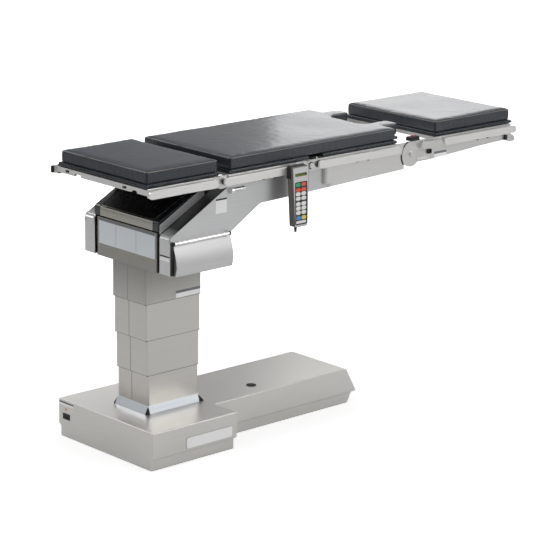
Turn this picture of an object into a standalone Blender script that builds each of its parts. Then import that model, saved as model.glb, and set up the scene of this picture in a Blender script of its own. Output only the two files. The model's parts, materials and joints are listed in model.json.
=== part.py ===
# Operating table: offset telescoping column on a T-shaped base, tilting head housing,
# two cranked arms and four cushioned sections with accessory rails.
# Metres, +Z up. X 0 is the centre of the base block, Z 0 is the floor.
# The head end points to -X, the leg end to +X, and the near side to -Y.

import math

import bmesh
import bpy
from mathutils import Matrix, Vector

# Clearances and walls
GAP = 0.0003
SHEET = 0.0015
RUNNING_FIT = 0.0005
ARC_STEP = math.radians(18)
ROUND_SIDES = 24
SMALL_SIDES = 16
HUB_SIDES = 36
CUT_MARGIN = 0.01
DEEP_CUT = 0.02

# Base hood and chassis
BLOCK_HALF_LENGTH = 0.203
BLOCK_HALF_WIDTH = 0.284
HOOD_TOP = 0.148
TAIL_HALF_WIDTH = 0.159
TAIL_TOP_END = 0.895
TAIL_FOOT_END = 0.951
TAIL_KICK_END = 0.916
SKIRT_TOP = 0.0475
SKIRT_RETURN = 0.0075
SKIRT_INSET = 0.013
BLOCK_END_INSET = 0.005
HOOD_FLOOR_GAP = 0.0018
CHASSIS_THICKNESS = 0.012
PLUG_X = 0.4625
PLUG_Y = -0.073
PLUG_RADIUS = 0.017
PLUG_LIP = 0.0025
PLUG_DEPTH = 0.006
PLUG_HEAD = 0.0018

# Switch and lamp in the end of the base
SWITCH_Y = 0.2375
SWITCH_Z = 0.0826
SWITCH_WIDTH = 0.041
SWITCH_HEIGHT = 0.023
SWITCH_RIM = 0.002
SWITCH_WALL = 0.0012
SWITCH_DEPTH = 0.014
ROCKER_TILT = math.radians(7)
ROCKER_RISE = 0.002
ROCKER_DEPTH = 0.006
ROCKER_PIVOT = 0.003
LAMP_Y = 0.2408
LAMP_Z = 0.1098
LAMP_RADIUS = 0.004
LAMP_PROUD = 0.002
LAMP_DEPTH = 0.008

# Column covers, the widest on top
COVER_FRONT = -0.088
COVER_BACK = 0.182
COVER_HALF_WIDTH = 0.0975
COVER_FRONT_STEP = 0.0063
COVER_BACK_STEP = 0.0025
COVER_SIDE_STEP = 0.0025
COVER_WALL = 0.0012
COVER_CORNER = 0.006
COVER_BOTTOMS = (0.575, 0.434, 0.297)
COVER_TOPS = (0.741, 0.600, 0.460, 0.330)
COVER_GUIDE = 0.010
COLUMN_ROOM = 0.002

# Collar at the foot of the column
COLLAR_TOP = 0.179
COLLAR_FOOT = 0.1503
COLLAR_FRONT = 0.084
COLLAR_BACK = 0.198
COLLAR_SIDE = 0.101
COLLAR_PLATE = 0.0016
COLLAR_BAND = 0.0035
GASKET_TOP = 0.172

# Lift mast
MAST_X = 0.0528
MAST_OUTER_RADIUS = 0.055
MAST_WALL = 0.0075
MAST_FOOT_RADIUS = 0.078
MAST_FOOT_HEIGHT = 0.012
MAST_OUTER_TOP = 0.330
MAST_MIDDLE_LOW = 0.215
MAST_MIDDLE_TOP = 0.540
MAST_INNER_LOW = 0.405

# Power unit on the chassis
POWER_X = (0.30, 0.56)
POWER_HALF_WIDTH = 0.10
POWER_HEIGHT = 0.085
POWER_MOTOR_RADIUS = 0.034
POWER_MOTOR_END = 0.70
POWER_MOTOR_LIFT = 0.006
POWER_FOOT_WIDTH = 0.030
POWER_FOOT_THICKNESS = 0.015

# Column head and tilt axes
TILT_X = 0.05
TILT_Z = 0.805
HEAD_PLATE = 0.010
LUG_X = (-0.070, 0.145)
LUG_THICKNESS = 0.025
LUG_HALF_WIDTH = 0.033
LUG_FLARE = 0.008
JOURNAL_RADIUS = 0.018
JOURNAL_OVERHANG = 0.005
SHAFT_RADIUS = 0.016
SPIDER_X = (-0.035, 0.135)
SPIDER_HALF_WIDTH = 0.045
SPIDER_HALF_HEIGHT = 0.040
SPIDER_CORNER = 0.018
TILT_DRIVE_X = (0.020, 0.100)
TILT_DRIVE_HALF = 0.060
TILT_DRIVE_HEIGHT = 0.045
TILT_MOTOR_RADIUS = 0.021
TILT_MOTOR_END = 0.140

# Across the table: the cushion's width sets every layer
PAD_HALF_WIDTH = 0.253
TOP_HALF_WIDTH = PAD_HALF_WIDTH - 0.001
INNER_LUG_IN = TOP_HALF_WIDTH + 0.0015
SIDE_IN = INNER_LUG_IN + 0.0085
SIDE_OUT = SIDE_IN + 0.008
FLANGE_IN = SIDE_IN - 0.022
PIN_END = SIDE_OUT + 0.009
RAIL_IN = SIDE_OUT + 0.0105
RAIL_OUT = RAIL_IN + 0.0095
LATCH_Y = (SIDE_IN - 0.022, SIDE_IN - 0.0005)
LEVER_IN = RAIL_IN + 0.001
HANDSET_REAR = RAIL_OUT + 0.0025
HANDSET_FACE = HANDSET_REAR + 0.0295
HOOK_TONGUE = (RAIL_IN - 0.008, RAIL_IN - 0.0005)
NUB_Y = (HANDSET_REAR + HANDSET_FACE) / 2
ARM_OUT = SIDE_IN - 0.012
ARM_IN = ARM_OUT - 0.060
ROD_Y = ARM_OUT + 0.012
CAP_HALF_WIDTH = ARM_IN - 0.003
CAP_MIDDLE_HALF = CAP_HALF_WIDTH - 0.034
SHROUD_OUT = ARM_IN - 0.0115
SHROUD_IN = SHROUD_OUT - 0.005
PANEL_HALF_WIDTH = SHROUD_IN - 0.001
CHEEK_IN = SHROUD_IN - 0.0105

# Up the table: the underside of the side bars sets every level
PAD_THICKNESS = 0.0573
PAD_EDGE = 0.010
PAD_CORNER = 0.012
TOP_THICKNESS = 0.008
BAR_LOW = 1.020
BAR_HIGH = BAR_LOW + 0.042
TOP_LOW = BAR_HIGH - 0.005
PAD_LOW = TOP_LOW + TOP_THICKNESS + GAP
PAD_TOP = PAD_LOW + PAD_THICKNESS
RAIL_LOW = BAR_LOW + 0.0075
RAIL_HIGH = RAIL_LOW + 0.0285
LATCH_TOP = BAR_HIGH + 0.016

# Head housing
HOUSING_LOW = 0.716
PANEL_FACE = -0.0971
PANEL_TOP = 0.865
PANEL_FOLD = 0.005
SHROUD_BACK = 0.190
SHROUD_BACK_TOP = 0.930
SHROUD_CREST_X = 0.125
SHROUD_WALL = 0.003
SHROUD_RETURN = 0.025
CHEEK_X = (-0.06, 0.11)
CHEEK_LOW = 0.775
BRIDGE_Z = 0.845
BRIDGE_THICKNESS = 0.010
CAP_FACE = -0.1005
CAP_BACK = 0.120
CAP_FRONT_TOP = 0.908
CAP_BACK_TOP = 1.016
CAP_DEPTH = 0.036

# Arms
ARM_WALL = 0.0025
ARM_FACE = -0.0974
ARM_LOW = 0.718
ARM_SHOULDER = 0.859
ARM_TOP = BAR_LOW - 0.004
ARM_SLOPE = math.radians(29)
ARM_END = 0.710
ARM_ROOT = 0.193
ARM_ROOT_TOP = 0.839
ARM_KNEE_X = 0.339
ARM_KNEE_Z = 0.927
ARM_END_LOW = ARM_TOP - 0.078
HUB_RADIUS = 0.022
HUB_LENGTH = 0.022
STOP_X = (0.203, 0.258)
STOP_Z = ARM_TOP - 0.020
STOP_RADIUS = 0.0085
ARM_BOLT_RADIUS = 0.012
ARM_BOLT_DROP = 0.044
ARM_BOLT_INSET = 0.020

# Drive cover, drive and grab rod on the near arm
COVER_X = (-0.083, 0.190)
DRIVE_COVER_TOP = 0.829
DRIVE_COVER_LOW = 0.713
DRIVE_COVER_CREASE = 0.745
DRIVE_COVER_BULGE = 0.021
DRIVE_COVER_WALL = 0.0012
DRIVE_COVER_CURL = 0.008
DRIVE_COVER_STEPS = 6
SADDLE_WIDTH = 0.020
SADDLE_INSET = 0.020
ROD_X = (-0.0935, 0.180)
ROD_Z = 0.8395
ROD_RADIUS = 0.006
ROD_CAP = 0.010
DRIVE_RADIUS = 0.022
DRIVE_X = (-0.070, 0.165)
DRIVE_Z = 0.7605

# Table sections
FLANGE_THICKNESS = 0.0035
CROSSBAR_DEPTH = 0.021
CROSSBAR_WIDTH = 0.020
FUSE = 0.0005
PIN_RADIUS = 0.006
BOSS_RADIUS = 0.011

HEAD_END = -0.213
HEAD_HINGE_X = 0.140
HEAD_HINGE_Z = BAR_HIGH - 0.010
HEAD_BAR_END = 0.158
HEAD_PAD_X = (-0.211, 0.136)
HEAD_KNUCKLE_LOW = BAR_LOW - 0.011
BACK_START = 0.166
BACK_END = 0.552
BACK_HINGE_X = 0.576
BACK_HINGE_Z = BAR_LOW + 0.021
BACK_PAD_START = 0.185
BACK_LUG_REACH = 0.018
BACK_LUG_LENGTH = 0.040
HEAD_LUG_LENGTH = 0.050
HEAD_LUG_TIP = 0.024
HEAD_LUG_RISE = 0.012
BACK_BAR_X = (0.225, 0.507)
FOLD_HALF_ANGLE = math.radians(41.5)
SEAT_STEP_X = 0.675
SEAT_STEP_LOW = BAR_LOW - 0.076
SEAT_END_X = 1.078
SEAT_END_LOW = BAR_LOW - 0.063
SEAT_STEP_RADIUS = 0.020
SEAT_PAD_SIDE_END = 1.052
SEAT_PAD_SHOULDER = 1.062
SEAT_PRONG_TIP = 1.145
SEAT_PRONG_OUT = 0.180
SEAT_PRONG_IN = 0.102
SEAT_CUTOUT = 1.020
LEG_HINGE_X = 1.117
LEG_HINGE_Z = BAR_LOW - 0.008
LEG_HUB_RADIUS = 0.050
LEG_HUB_CLEARANCE = 0.003
LEG_PIN_RADIUS = 0.010
LEG_LUG_RADIUS = 0.030
LEG_LUG_START = 1.020
LUG_SEAT_LENGTH = 0.035
LUG_SEAT_HALF = 0.027
SEAT_BAR_WIDTH = 0.030
SEAT_BAR_LIFT = 0.012
SEAT_END_BAR_INSET = 0.035
SEAT_FLANGE_START = 0.612
SEAT_STEP_RUN = 0.012
LEG_BRACKET_END = 1.2275
LEG_LOW = BAR_LOW - 0.043
LEG_START = 1.2285
LEG_END = 1.694
LEG_MID_X = 1.514
LEG_MID_LOW = BAR_LOW - 0.026
LEG_END_LOW = BAR_LOW - 0.019
LEG_PAD_X = (1.2665, 1.709)
LEG_TONGUE_START = 1.175
LEG_TONGUE_LENGTH = 0.1235
LEG_TONGUE_Z = (BAR_LOW - 0.034, BAR_LOW + 0.010)
LEG_BAR_INSET = 0.030
LEG_CORNER = 0.003
EAR_LENGTH = 0.030
EAR_HALF = 0.010
EAR_CORNER = 0.008
EAR_TOP = LEG_END_LOW + 0.025
BOARD_INSET = 0.004
FOOT_BAR_X = 1.710
FOOT_BAR_Z = BAR_LOW - 0.022
FOOT_BAR_RADIUS = 0.006

# Accessory rails
RAIL_CORNER = 0.012
SPACER_RADIUS = 0.007
NOTCH_WIDTH = 0.006
NOTCH_DEPTH = 0.003
HEAD_RAIL_X = (-0.223, 0.099)
BACK_RAIL_X = (0.130, 0.548)
SEAT_RAIL_X = (0.603, 1.040)
STUB_RAIL_X = (1.160, 1.275)
STUB_SPACERS = (STUB_RAIL_X[0] + 0.015, LEG_BRACKET_END - 0.012)
LEG_RAIL_X = (1.290, 1.708)

# Latch, lever and handset
LATCH_X = (1.115, 1.170)
BUTTON_X = 1.1405
BUTTON_LENGTH = 0.011
BUTTON_WIDTH = 0.010
BUTTON_PROUD = 0.0035
BUTTON_TRAVEL = 0.003
BUTTON_WELL = 0.010
LATCH_CORNER = 0.005
LATCH_SADDLE = 0.006
LATCH_SADDLE_INSET = 0.004
LEVER_X = (1.148, 1.192)
LEVER_Z = BAR_LOW - 0.027
LEVER_HALF_HEIGHT = 0.0045
LEVER_THICKNESS = 0.005
LEVER_PIN_RADIUS = 0.003
LEVER_HUB_RADIUS = 0.0042
LEVER_TAIL = 0.006
LEVER_TAPER = 0.001
HANDSET_TOP_X = (0.434, 0.517)
HANDSET_LOW_X = (0.450, 0.515)
HANDSET_Z = (0.828, 1.059)
HOOK_X = (0.455, 0.495)
HOOK_THICKNESS = 0.003
HOOK_DROP = 0.020
NUB_X = 0.467
NUB_RADIUS = 0.005
NUB_LENGTH = 0.020

SIDES = {"near": -1, "far": 1}
AXES = {"X": (1, 2, 0), "Y": (0, 2, 1), "Z": (0, 1, 2)}

# Name, base colour, roughness and metallic value
FINISHES = {
    "stainless": ((0.44, 0.43, 0.41), 0.34, 1.0),
    "bright_steel": ((0.62, 0.62, 0.61), 0.18, 1.0),
    "collar_steel": ((0.47, 0.50, 0.54), 0.28, 1.0),
    "chrome": ((0.75, 0.75, 0.75), 0.08, 1.0),
    "cast_steel": ((0.20, 0.20, 0.21), 0.55, 0.8),
    "black_plastic": ((0.015, 0.015, 0.017), 0.32, 0.0),
    "phenolic": ((0.02, 0.02, 0.022), 0.45, 0.0),
    "vinyl": ((0.022, 0.024, 0.027), 0.38, 0.0),
    "rubber": ((0.02, 0.02, 0.02), 0.7, 0.0),
    "red_plastic": ((0.55, 0.03, 0.03), 0.35, 0.0),
    "amber_lens": ((0.85, 0.32, 0.05), 0.25, 0.0),
    "handset_grey": ((0.16, 0.165, 0.17), 0.45, 0.0),
}
materials = {}
bodies = {}


def clear_scene():
    for old in list(bpy.data.objects):
        bpy.data.objects.remove(old, do_unlink=True)


def make_materials():
    for name, (colour, roughness, metallic) in FINISHES.items():
        made = bpy.data.materials.new(name)
        made.use_nodes = True
        shader = made.node_tree.nodes["Principled BSDF"]
        shader.inputs["Base Color"].default_value = (*colour, 1.0)
        shader.inputs["Roughness"].default_value = roughness
        shader.inputs["Metallic"].default_value = metallic
        materials[name] = made


def make_body(name, place, parent=None):
    empty = bpy.data.objects.new(name + "_axis", None)
    bpy.context.scene.collection.objects.link(empty)
    bodies[name] = (empty, Vector(place))
    empty.location = Vector(place)
    if parent:
        carrier, origin = bodies[parent]
        empty.parent = carrier
        empty.location = Vector(place) - origin


# Outlines in a plane

def rounded(corners):
    """Outline through corners given as (u, v) or (u, v, fillet radius)."""
    outline = []
    for index, corner in enumerate(corners):
        point = Vector(corner[:2])
        radius = corner[2] if len(corner) > 2 else 0.0
        if radius == 0.0:
            outline.append(tuple(point))
            continue
        before = (Vector(corners[index - 1][:2]) - point).normalized()
        after = (Vector(corners[(index + 1) % len(corners)][:2]) - point).normalized()
        half = before.angle(after) / 2
        centre = point + (before + after).normalized() * (radius / math.sin(half))
        start = point + before * (radius / math.tan(half)) - centre
        end = point + after * (radius / math.tan(half)) - centre
        first = math.atan2(start.y, start.x)
        turn = (math.atan2(end.y, end.x) - first + math.pi) % (2 * math.pi) - math.pi
        steps = max(2, math.ceil(abs(turn) / ARC_STEP - 0.01))
        for step in range(steps + 1):
            angle = first + turn * step / steps
            outline.append((centre.x + radius * math.cos(angle), centre.y + radius * math.sin(angle)))
    return outline


def rectangle(u, v, radius=0.0):
    return rounded([(u[0], v[0], radius), (u[1], v[0], radius), (u[1], v[1], radius), (u[0], v[1], radius)])


def circle(centre, radius, sides=ROUND_SIDES):
    turns = [2 * math.pi * (index + 0.5) / sides for index in range(sides)]
    return [(centre[0] + radius * math.cos(turn), centre[1] + radius * math.sin(turn)) for turn in turns]


def shrunk(outline, wall):
    """Outline moved inwards by a wall, with mitred corners."""
    area = sum(a[0] * b[1] - b[0] * a[1] for a, b in zip(outline, outline[1:] + outline[:1]))
    inward = 1 if area > 0 else -1
    moved = []
    for index, corner in enumerate(outline):
        point = Vector(corner)
        before = (point - Vector(outline[index - 1])).normalized()
        after = (Vector(outline[(index + 1) % len(outline)]) - point).normalized()
        normal = (Vector((-before.y, before.x)) + Vector((-after.y, after.x))).normalized() * inward
        reach = wall / max(0.2, normal.dot(Vector((-after.y, after.x)) * inward))
        moved.append(tuple(point + normal * reach))
    return moved


# Solids

def as_object(name, mesh):
    bmesh.ops.recalc_face_normals(mesh, faces=mesh.faces)
    data = bpy.data.meshes.new(name)
    mesh.to_mesh(data)
    mesh.free()
    made = bpy.data.objects.new(name, data)
    bpy.context.scene.collection.objects.link(made)
    return made


def prism(name, outline, axis, low, high):
    u, v, w = AXES[axis]
    mesh = bmesh.new()
    ring = []
    for point in outline:
        place = [0.0, 0.0, 0.0]
        place[u], place[v], place[w] = point[0], point[1], low
        ring.append(mesh.verts.new(place))
    lid = bmesh.ops.extrude_face_region(mesh, geom=[mesh.faces.new(ring)])
    shift = Vector((0.0, 0.0, 0.0))
    shift[w] = high - low
    raised = [item for item in lid["geom"] if isinstance(item, bmesh.types.BMVert)]
    bmesh.ops.translate(mesh, vec=shift, verts=raised)
    return as_object(name, mesh)


def block(name, x, y, z):
    return prism(name, rectangle(x, y), "Z", z[0], z[1])


def cylinder(name, axis, centre, radius, low, high, sides=ROUND_SIDES):
    return prism(name, circle(centre, radius, sides), axis, low, high)


def loft(name, rings):
    """Solid through closed rings of equal length, capped at both ends."""
    mesh = bmesh.new()
    loops = [[mesh.verts.new(point) for point in ring] for ring in rings]
    for lower, upper in zip(loops, loops[1:]):
        for index, corner in enumerate(lower):
            beside = (index + 1) % len(lower)
            mesh.faces.new((corner, lower[beside], upper[beside], upper[index]))
    mesh.faces.new(loops[0])
    mesh.faces.new(loops[-1])
    return as_object(name, mesh)


def combine(target, tools, operation):
    """Boolean of the target with each tool, applied; the tools are used up."""
    for tool in tools:
        change = target.modifiers.new("Combine", "BOOLEAN")
        change.operation = operation
        change.solver = "EXACT"
        change.object = tool
        graph = bpy.context.evaluated_depsgraph_get()
        graph.update()
        result = bpy.data.meshes.new_from_object(target.evaluated_get(graph))
        target.modifiers.remove(change)
        target.data = result
        bpy.data.objects.remove(tool, do_unlink=True)
    return target


def cut(target, *tools):
    return combine(target, tools, "DIFFERENCE")


def fuse(target, *tools):
    return combine(target, tools, "UNION")


def span(side, near, far):
    """Low and high Y of a layer that lies between two distances from the middle."""
    ends = (side * near, side * far)
    return min(ends), max(ends)


def layer(name, outline, side, near, far):
    low, high = span(side, near, far)
    return prism(name, outline, "Y", low, high)


def place(piece, body, finish):
    """Give a finished piece its material and hang it on its body's axis."""
    empty, origin = bodies[body]
    data = piece.data
    data.transform(Matrix.Translation(-origin))
    data.materials.clear()
    data.materials.append(materials[finish])
    data.shade_smooth()
    data.set_sharp_from_angle(angle=math.radians(25))
    piece.parent = empty
    return piece


def make_bodies():
    rail_middle = (RAIL_LOW + RAIL_HIGH) / 2
    make_body("base", (0, 0, 0))
    make_body("power_switch", (-BLOCK_HALF_LENGTH + ROCKER_PIVOT, SWITCH_Y, SWITCH_Z), "base")
    for name in ("lift", "cover_second", "cover_third", "mast_second"):
        make_body(name, (MAST_X, 0, 0), "base")
    make_body("carriage", (TILT_X, 0, TILT_Z), "lift")
    make_body("table", (TILT_X, 0, TILT_Z), "carriage")
    make_body("back", (BACK_HINGE_X, 0, BACK_HINGE_Z), "table")
    make_body("head", (HEAD_HINGE_X, 0, HEAD_HINGE_Z), "back")
    make_body("leg", (LEG_HINGE_X, 0, LEG_HINGE_Z), "table")
    make_body("handset", (NUB_X, -RAIL_OUT, rail_middle), "back")
    for name, side in SIDES.items():
        make_body("button_" + name, (BUTTON_X, side * sum(LATCH_Y) / 2, LATCH_TOP), "leg")
        make_body("lever_" + name, (LEVER_X[0], side * LEVER_IN, LEVER_Z), "leg")


# Base

def tee(front, side, block_end, tail_side, tail_end, z):
    half = [(-front, side), (block_end, side), (block_end, tail_side), (tail_end, tail_side)]
    mirrored = [(x, -y) for x, y in half]
    return [(x, y, z) for x, y in mirrored + half[::-1]]


def hood_form(name, wall, top, foot):
    """T-shaped hood with slanted tail, slanted return and recessed skirt."""
    lift = wall * 0.7
    levels = (
        (foot, SKIRT_INSET, BLOCK_END_INSET, TAIL_KICK_END),
        (SKIRT_TOP - SKIRT_RETURN + lift, SKIRT_INSET, BLOCK_END_INSET, TAIL_FOOT_END - SKIRT_INSET),
        (SKIRT_TOP + lift, 0.0, 0.0, TAIL_FOOT_END),
        (top, 0.0, 0.0, TAIL_TOP_END),
    )
    rings = []
    for z, inset, end_inset, tail_end in levels:
        front = BLOCK_HALF_LENGTH - wall
        side = BLOCK_HALF_WIDTH - inset - wall
        block_end = BLOCK_HALF_LENGTH - end_inset - wall
        rings.append(tee(front, side, block_end, TAIL_HALF_WIDTH - inset - wall, tail_end - wall, z))
    return loft(name, rings)


def cover_outline(index, grow=0.0, corner=COVER_CORNER):
    front = COVER_FRONT + index * COVER_FRONT_STEP - grow
    back = COVER_BACK - index * COVER_BACK_STEP + grow
    side = COVER_HALF_WIDTH - index * COVER_SIDE_STEP + grow
    return rectangle((front, back), (-side, side), corner)


def switch_box(name, shrink, x):
    y = SWITCH_WIDTH / 2 - shrink
    z = SWITCH_HEIGHT / 2 - shrink
    return block(name, x, (SWITCH_Y - y, SWITCH_Y + y), (SWITCH_Z - z, SWITCH_Z + z))


def build_base():
    chassis_wall = SHEET + GAP
    chassis_outline = tee(
        BLOCK_HALF_LENGTH - chassis_wall,
        BLOCK_HALF_WIDTH - SKIRT_INSET - chassis_wall,
        BLOCK_HALF_LENGTH - BLOCK_END_INSET - chassis_wall,
        TAIL_HALF_WIDTH - SKIRT_INSET - chassis_wall,
        TAIL_KICK_END - 2 * chassis_wall,
        0.0,
    )
    chassis = prism("base_chassis", [point[:2] for point in chassis_outline], "Z", 0.0, CHASSIS_THICKNESS)
    place(chassis, "base", "cast_steel")

    face = -BLOCK_HALF_LENGTH
    lamp_centre = (LAMP_Y, LAMP_Z)
    plug_centre = (PLUG_X, PLUG_Y)
    hood = hood_form("base_hood", 0.0, HOOD_TOP, HOOD_FLOOR_GAP)
    cut(
        hood,
        hood_form("hollow", SHEET, HOOD_TOP - SHEET, -HOOD_FLOOR_GAP),
        prism("opening", cover_outline(3, COLUMN_ROOM), "Z", HOOD_TOP - DEEP_CUT, HOOD_TOP + DEEP_CUT),
        cylinder("plug_hole", "Z", plug_centre, PLUG_RADIUS, HOOD_TOP - DEEP_CUT, HOOD_TOP + DEEP_CUT),
        switch_box("switch_hole", SWITCH_RIM - GAP, (face - DEEP_CUT, face + DEEP_CUT)),
        cylinder("lamp_hole", "X", lamp_centre, LAMP_RADIUS, face - DEEP_CUT, face + DEEP_CUT, SMALL_SIDES),
    )
    place(hood, "base", "stainless")

    plug_z = (HOOD_TOP - PLUG_DEPTH, HOOD_TOP + PLUG_HEAD / 2)
    plug = cylinder("tail_plug", "Z", plug_centre, PLUG_RADIUS - GAP, *plug_z)
    lip = cylinder("lip", "Z", plug_centre, PLUG_RADIUS + PLUG_LIP, HOOD_TOP + GAP, HOOD_TOP + PLUG_HEAD)
    place(fuse(plug, lip), "base", "rubber")

    bezel = switch_box("switch_bezel", SWITCH_RIM, (face - GAP - FUSE, face + SWITCH_DEPTH))
    rim = switch_box("rim", 0.0, (face - GAP - SHEET, face - GAP))
    mouth = switch_box("mouth", SWITCH_RIM + SWITCH_WALL, (face - 0.01, face + SWITCH_DEPTH - SWITCH_WALL))
    place(cut(fuse(bezel, rim), mouth), "base", "black_plastic")

    lamp_x = (face - LAMP_PROUD, face + LAMP_DEPTH)
    lamp = cylinder("pilot_lamp", "X", lamp_centre, LAMP_RADIUS - GAP, *lamp_x, SMALL_SIDES)
    place(lamp, "base", "amber_lens")

    floor = CHASSIS_THICKNESS + GAP
    unit = block("power_unit", POWER_X, (-POWER_HALF_WIDTH, POWER_HALF_WIDTH), (floor, floor + POWER_HEIGHT))
    motor_z = floor + POWER_MOTOR_RADIUS + POWER_MOTOR_LIFT
    motor_x = (POWER_X[1] - CUT_MARGIN, POWER_MOTOR_END)
    motor = cylinder("motor", "X", (0.0, motor_z), POWER_MOTOR_RADIUS, *motor_x)
    foot_end = POWER_MOTOR_END - POWER_FOOT_THICKNESS
    foot = block("foot", (foot_end - POWER_FOOT_THICKNESS, foot_end), (-POWER_FOOT_WIDTH, POWER_FOOT_WIDTH),
                 (floor, motor_z))
    place(fuse(unit, motor, foot), "base", "cast_steel")


def build_rocker():
    swing = ROCKER_DEPTH * math.sin(ROCKER_TILT)
    half = SWITCH_WIDTH / 2 - SWITCH_RIM - SWITCH_WALL - RUNNING_FIT - swing
    pivot = Vector((-BLOCK_HALF_LENGTH + ROCKER_PIVOT, SWITCH_Y))
    profile = [
        (0.0, 0.0), (-ROCKER_RISE, half), (ROCKER_DEPTH, half), (ROCKER_DEPTH, -half), (-ROCKER_RISE, -half),
    ]
    turned = []
    for x, y in profile:
        turned.append((
            pivot.x + x * math.cos(ROCKER_TILT) - y * math.sin(ROCKER_TILT),
            pivot.y + x * math.sin(ROCKER_TILT) + y * math.cos(ROCKER_TILT),
        ))
    reach = SWITCH_HEIGHT / 2 - SWITCH_RIM - SWITCH_WALL - GAP
    rocker = prism("power_rocker", turned, "Z", SWITCH_Z - reach, SWITCH_Z + reach)
    place(rocker, "power_switch", "black_plastic")


def collar_outline(z, shrink, column):
    """Outline of the collar's slope at a height, moved inwards by a wall."""
    share = (COLLAR_TOP - z) / (COLLAR_TOP - COLLAR_FOOT)
    front = column[0] + (-COLLAR_FRONT - column[0]) * share + shrink
    back = column[1] + (COLLAR_BACK - column[1]) * share - shrink
    side = column[2] + (COLLAR_SIDE - column[2]) * share - shrink
    return [(front, -side, z), (back, -side, z), (back, side, z), (front, side, z)]


def build_collar():
    column = (
        COVER_FRONT + 3 * COVER_FRONT_STEP - GAP,
        COVER_BACK - 3 * COVER_BACK_STEP + GAP,
        COVER_HALF_WIDTH - 3 * COVER_SIDE_STEP + GAP,
    )
    through = (HOOD_TOP - 0.02, COLLAR_TOP + 0.02)
    collar = loft("column_collar", [collar_outline(z, 0.0, column) for z in (COLLAR_FOOT, COLLAR_TOP)])
    under = [collar_outline(z, COLLAR_PLATE, column) for z in (COLLAR_FOOT - 0.01, COLLAR_TOP + 0.01)]
    cut(collar, loft("under", under), prism("through", cover_outline(3, GAP), "Z", *through))
    corners = []
    for side in SIDES.values():
        for edge, end in ((column[0], -COLLAR_FRONT), (column[1], COLLAR_BACK)):
            x = sorted((edge + (0.001 if end > 0 else -0.001) * -1, end * 1.2))
            y = span(side, column[2] - 0.001, COLLAR_SIDE * 1.2)
            corners.append(block("corner", x, y, (HOOD_TOP, COLLAR_TOP - COLLAR_BAND)))
    place(cut(collar, *corners), "base", "collar_steel")

    recess = COLLAR_PLATE + GAP
    gasket = loft("collar_gasket", [collar_outline(z, recess, column) for z in (HOOD_TOP + GAP, GASKET_TOP)])
    cut(gasket, prism("through", cover_outline(3, GAP), "Z", *through))
    place(gasket, "base", "rubber")


def build_column():
    names = ("column_cover_1", "column_cover_2", "column_cover_3", "column_cover_4")
    riders = ("lift", "cover_second", "cover_third", "base")
    bottoms = COVER_BOTTOMS + (CHASSIS_THICKNESS + GAP,)
    for index, name in enumerate(names):
        low = bottoms[index]
        top = COVER_TOPS[index]
        cover = prism(name, cover_outline(index), "Z", low, top)
        if index > 0:
            guide = prism("guide", cover_outline(index - 1, -COVER_WALL - GAP), "Z", top - COVER_GUIDE, top)
            fuse(cover, guide)
        hollow = prism("hollow", cover_outline(index, -COVER_WALL), "Z", low - CUT_MARGIN, top + CUT_MARGIN)
        place(cut(cover, hollow), riders[index], "stainless")

    centre = (MAST_X, 0.0)
    foot = CHASSIS_THICKNESS + GAP
    middle_radius = MAST_OUTER_RADIUS - MAST_WALL - RUNNING_FIT
    inner_radius = middle_radius - MAST_WALL - RUNNING_FIT
    stages = (
        ("mast_outer", "base", MAST_OUTER_RADIUS, foot, MAST_OUTER_TOP),
        ("mast_middle", "mast_second", middle_radius, MAST_MIDDLE_LOW, MAST_MIDDLE_TOP),
        ("mast_inner", "lift", inner_radius, MAST_INNER_LOW, COVER_TOPS[0]),
    )
    for name, body, radius, low, top in stages:
        stage = cylinder(name, "Z", centre, radius, low, top)
        if name == "mast_outer":
            fuse(stage, cylinder("foot", "Z", centre, MAST_FOOT_RADIUS, foot, foot + MAST_FOOT_HEIGHT))
        cut(stage, cylinder("bore", "Z", centre, radius - MAST_WALL, low - CUT_MARGIN, top + CUT_MARGIN))
        place(stage, body, "cast_steel")


# Column head and tilt carriage

def build_column_head():
    low = COVER_TOPS[0] + GAP
    head = prism("column_head", cover_outline(0), "Z", low, low + HEAD_PLATE)
    foot = low + HEAD_PLATE - 0.001
    crest = TILT_Z + LUG_HALF_WIDTH
    outline = rounded([
        (-LUG_HALF_WIDTH - LUG_FLARE, foot), (LUG_HALF_WIDTH + LUG_FLARE, foot),
        (LUG_HALF_WIDTH, crest, LUG_HALF_WIDTH * 0.95), (-LUG_HALF_WIDTH, crest, LUG_HALF_WIDTH * 0.95),
    ])
    for x in LUG_X:
        fuse(head, prism("lug", outline, "X", x, x + LUG_THICKNESS))
    bore = cylinder("bore", "X", (0.0, TILT_Z), JOURNAL_RADIUS + GAP, LUG_X[0] - 0.02, LUG_X[1] + 0.05)
    place(cut(head, bore), "lift", "cast_steel")


def cap_z(x, below=0.0):
    """Height of the cap's sloping top at x, less a depth."""
    slope = (CAP_BACK_TOP - CAP_FRONT_TOP) / (CAP_BACK - CAP_FACE)
    return CAP_FRONT_TOP + slope * (x - CAP_FACE) - below


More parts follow.
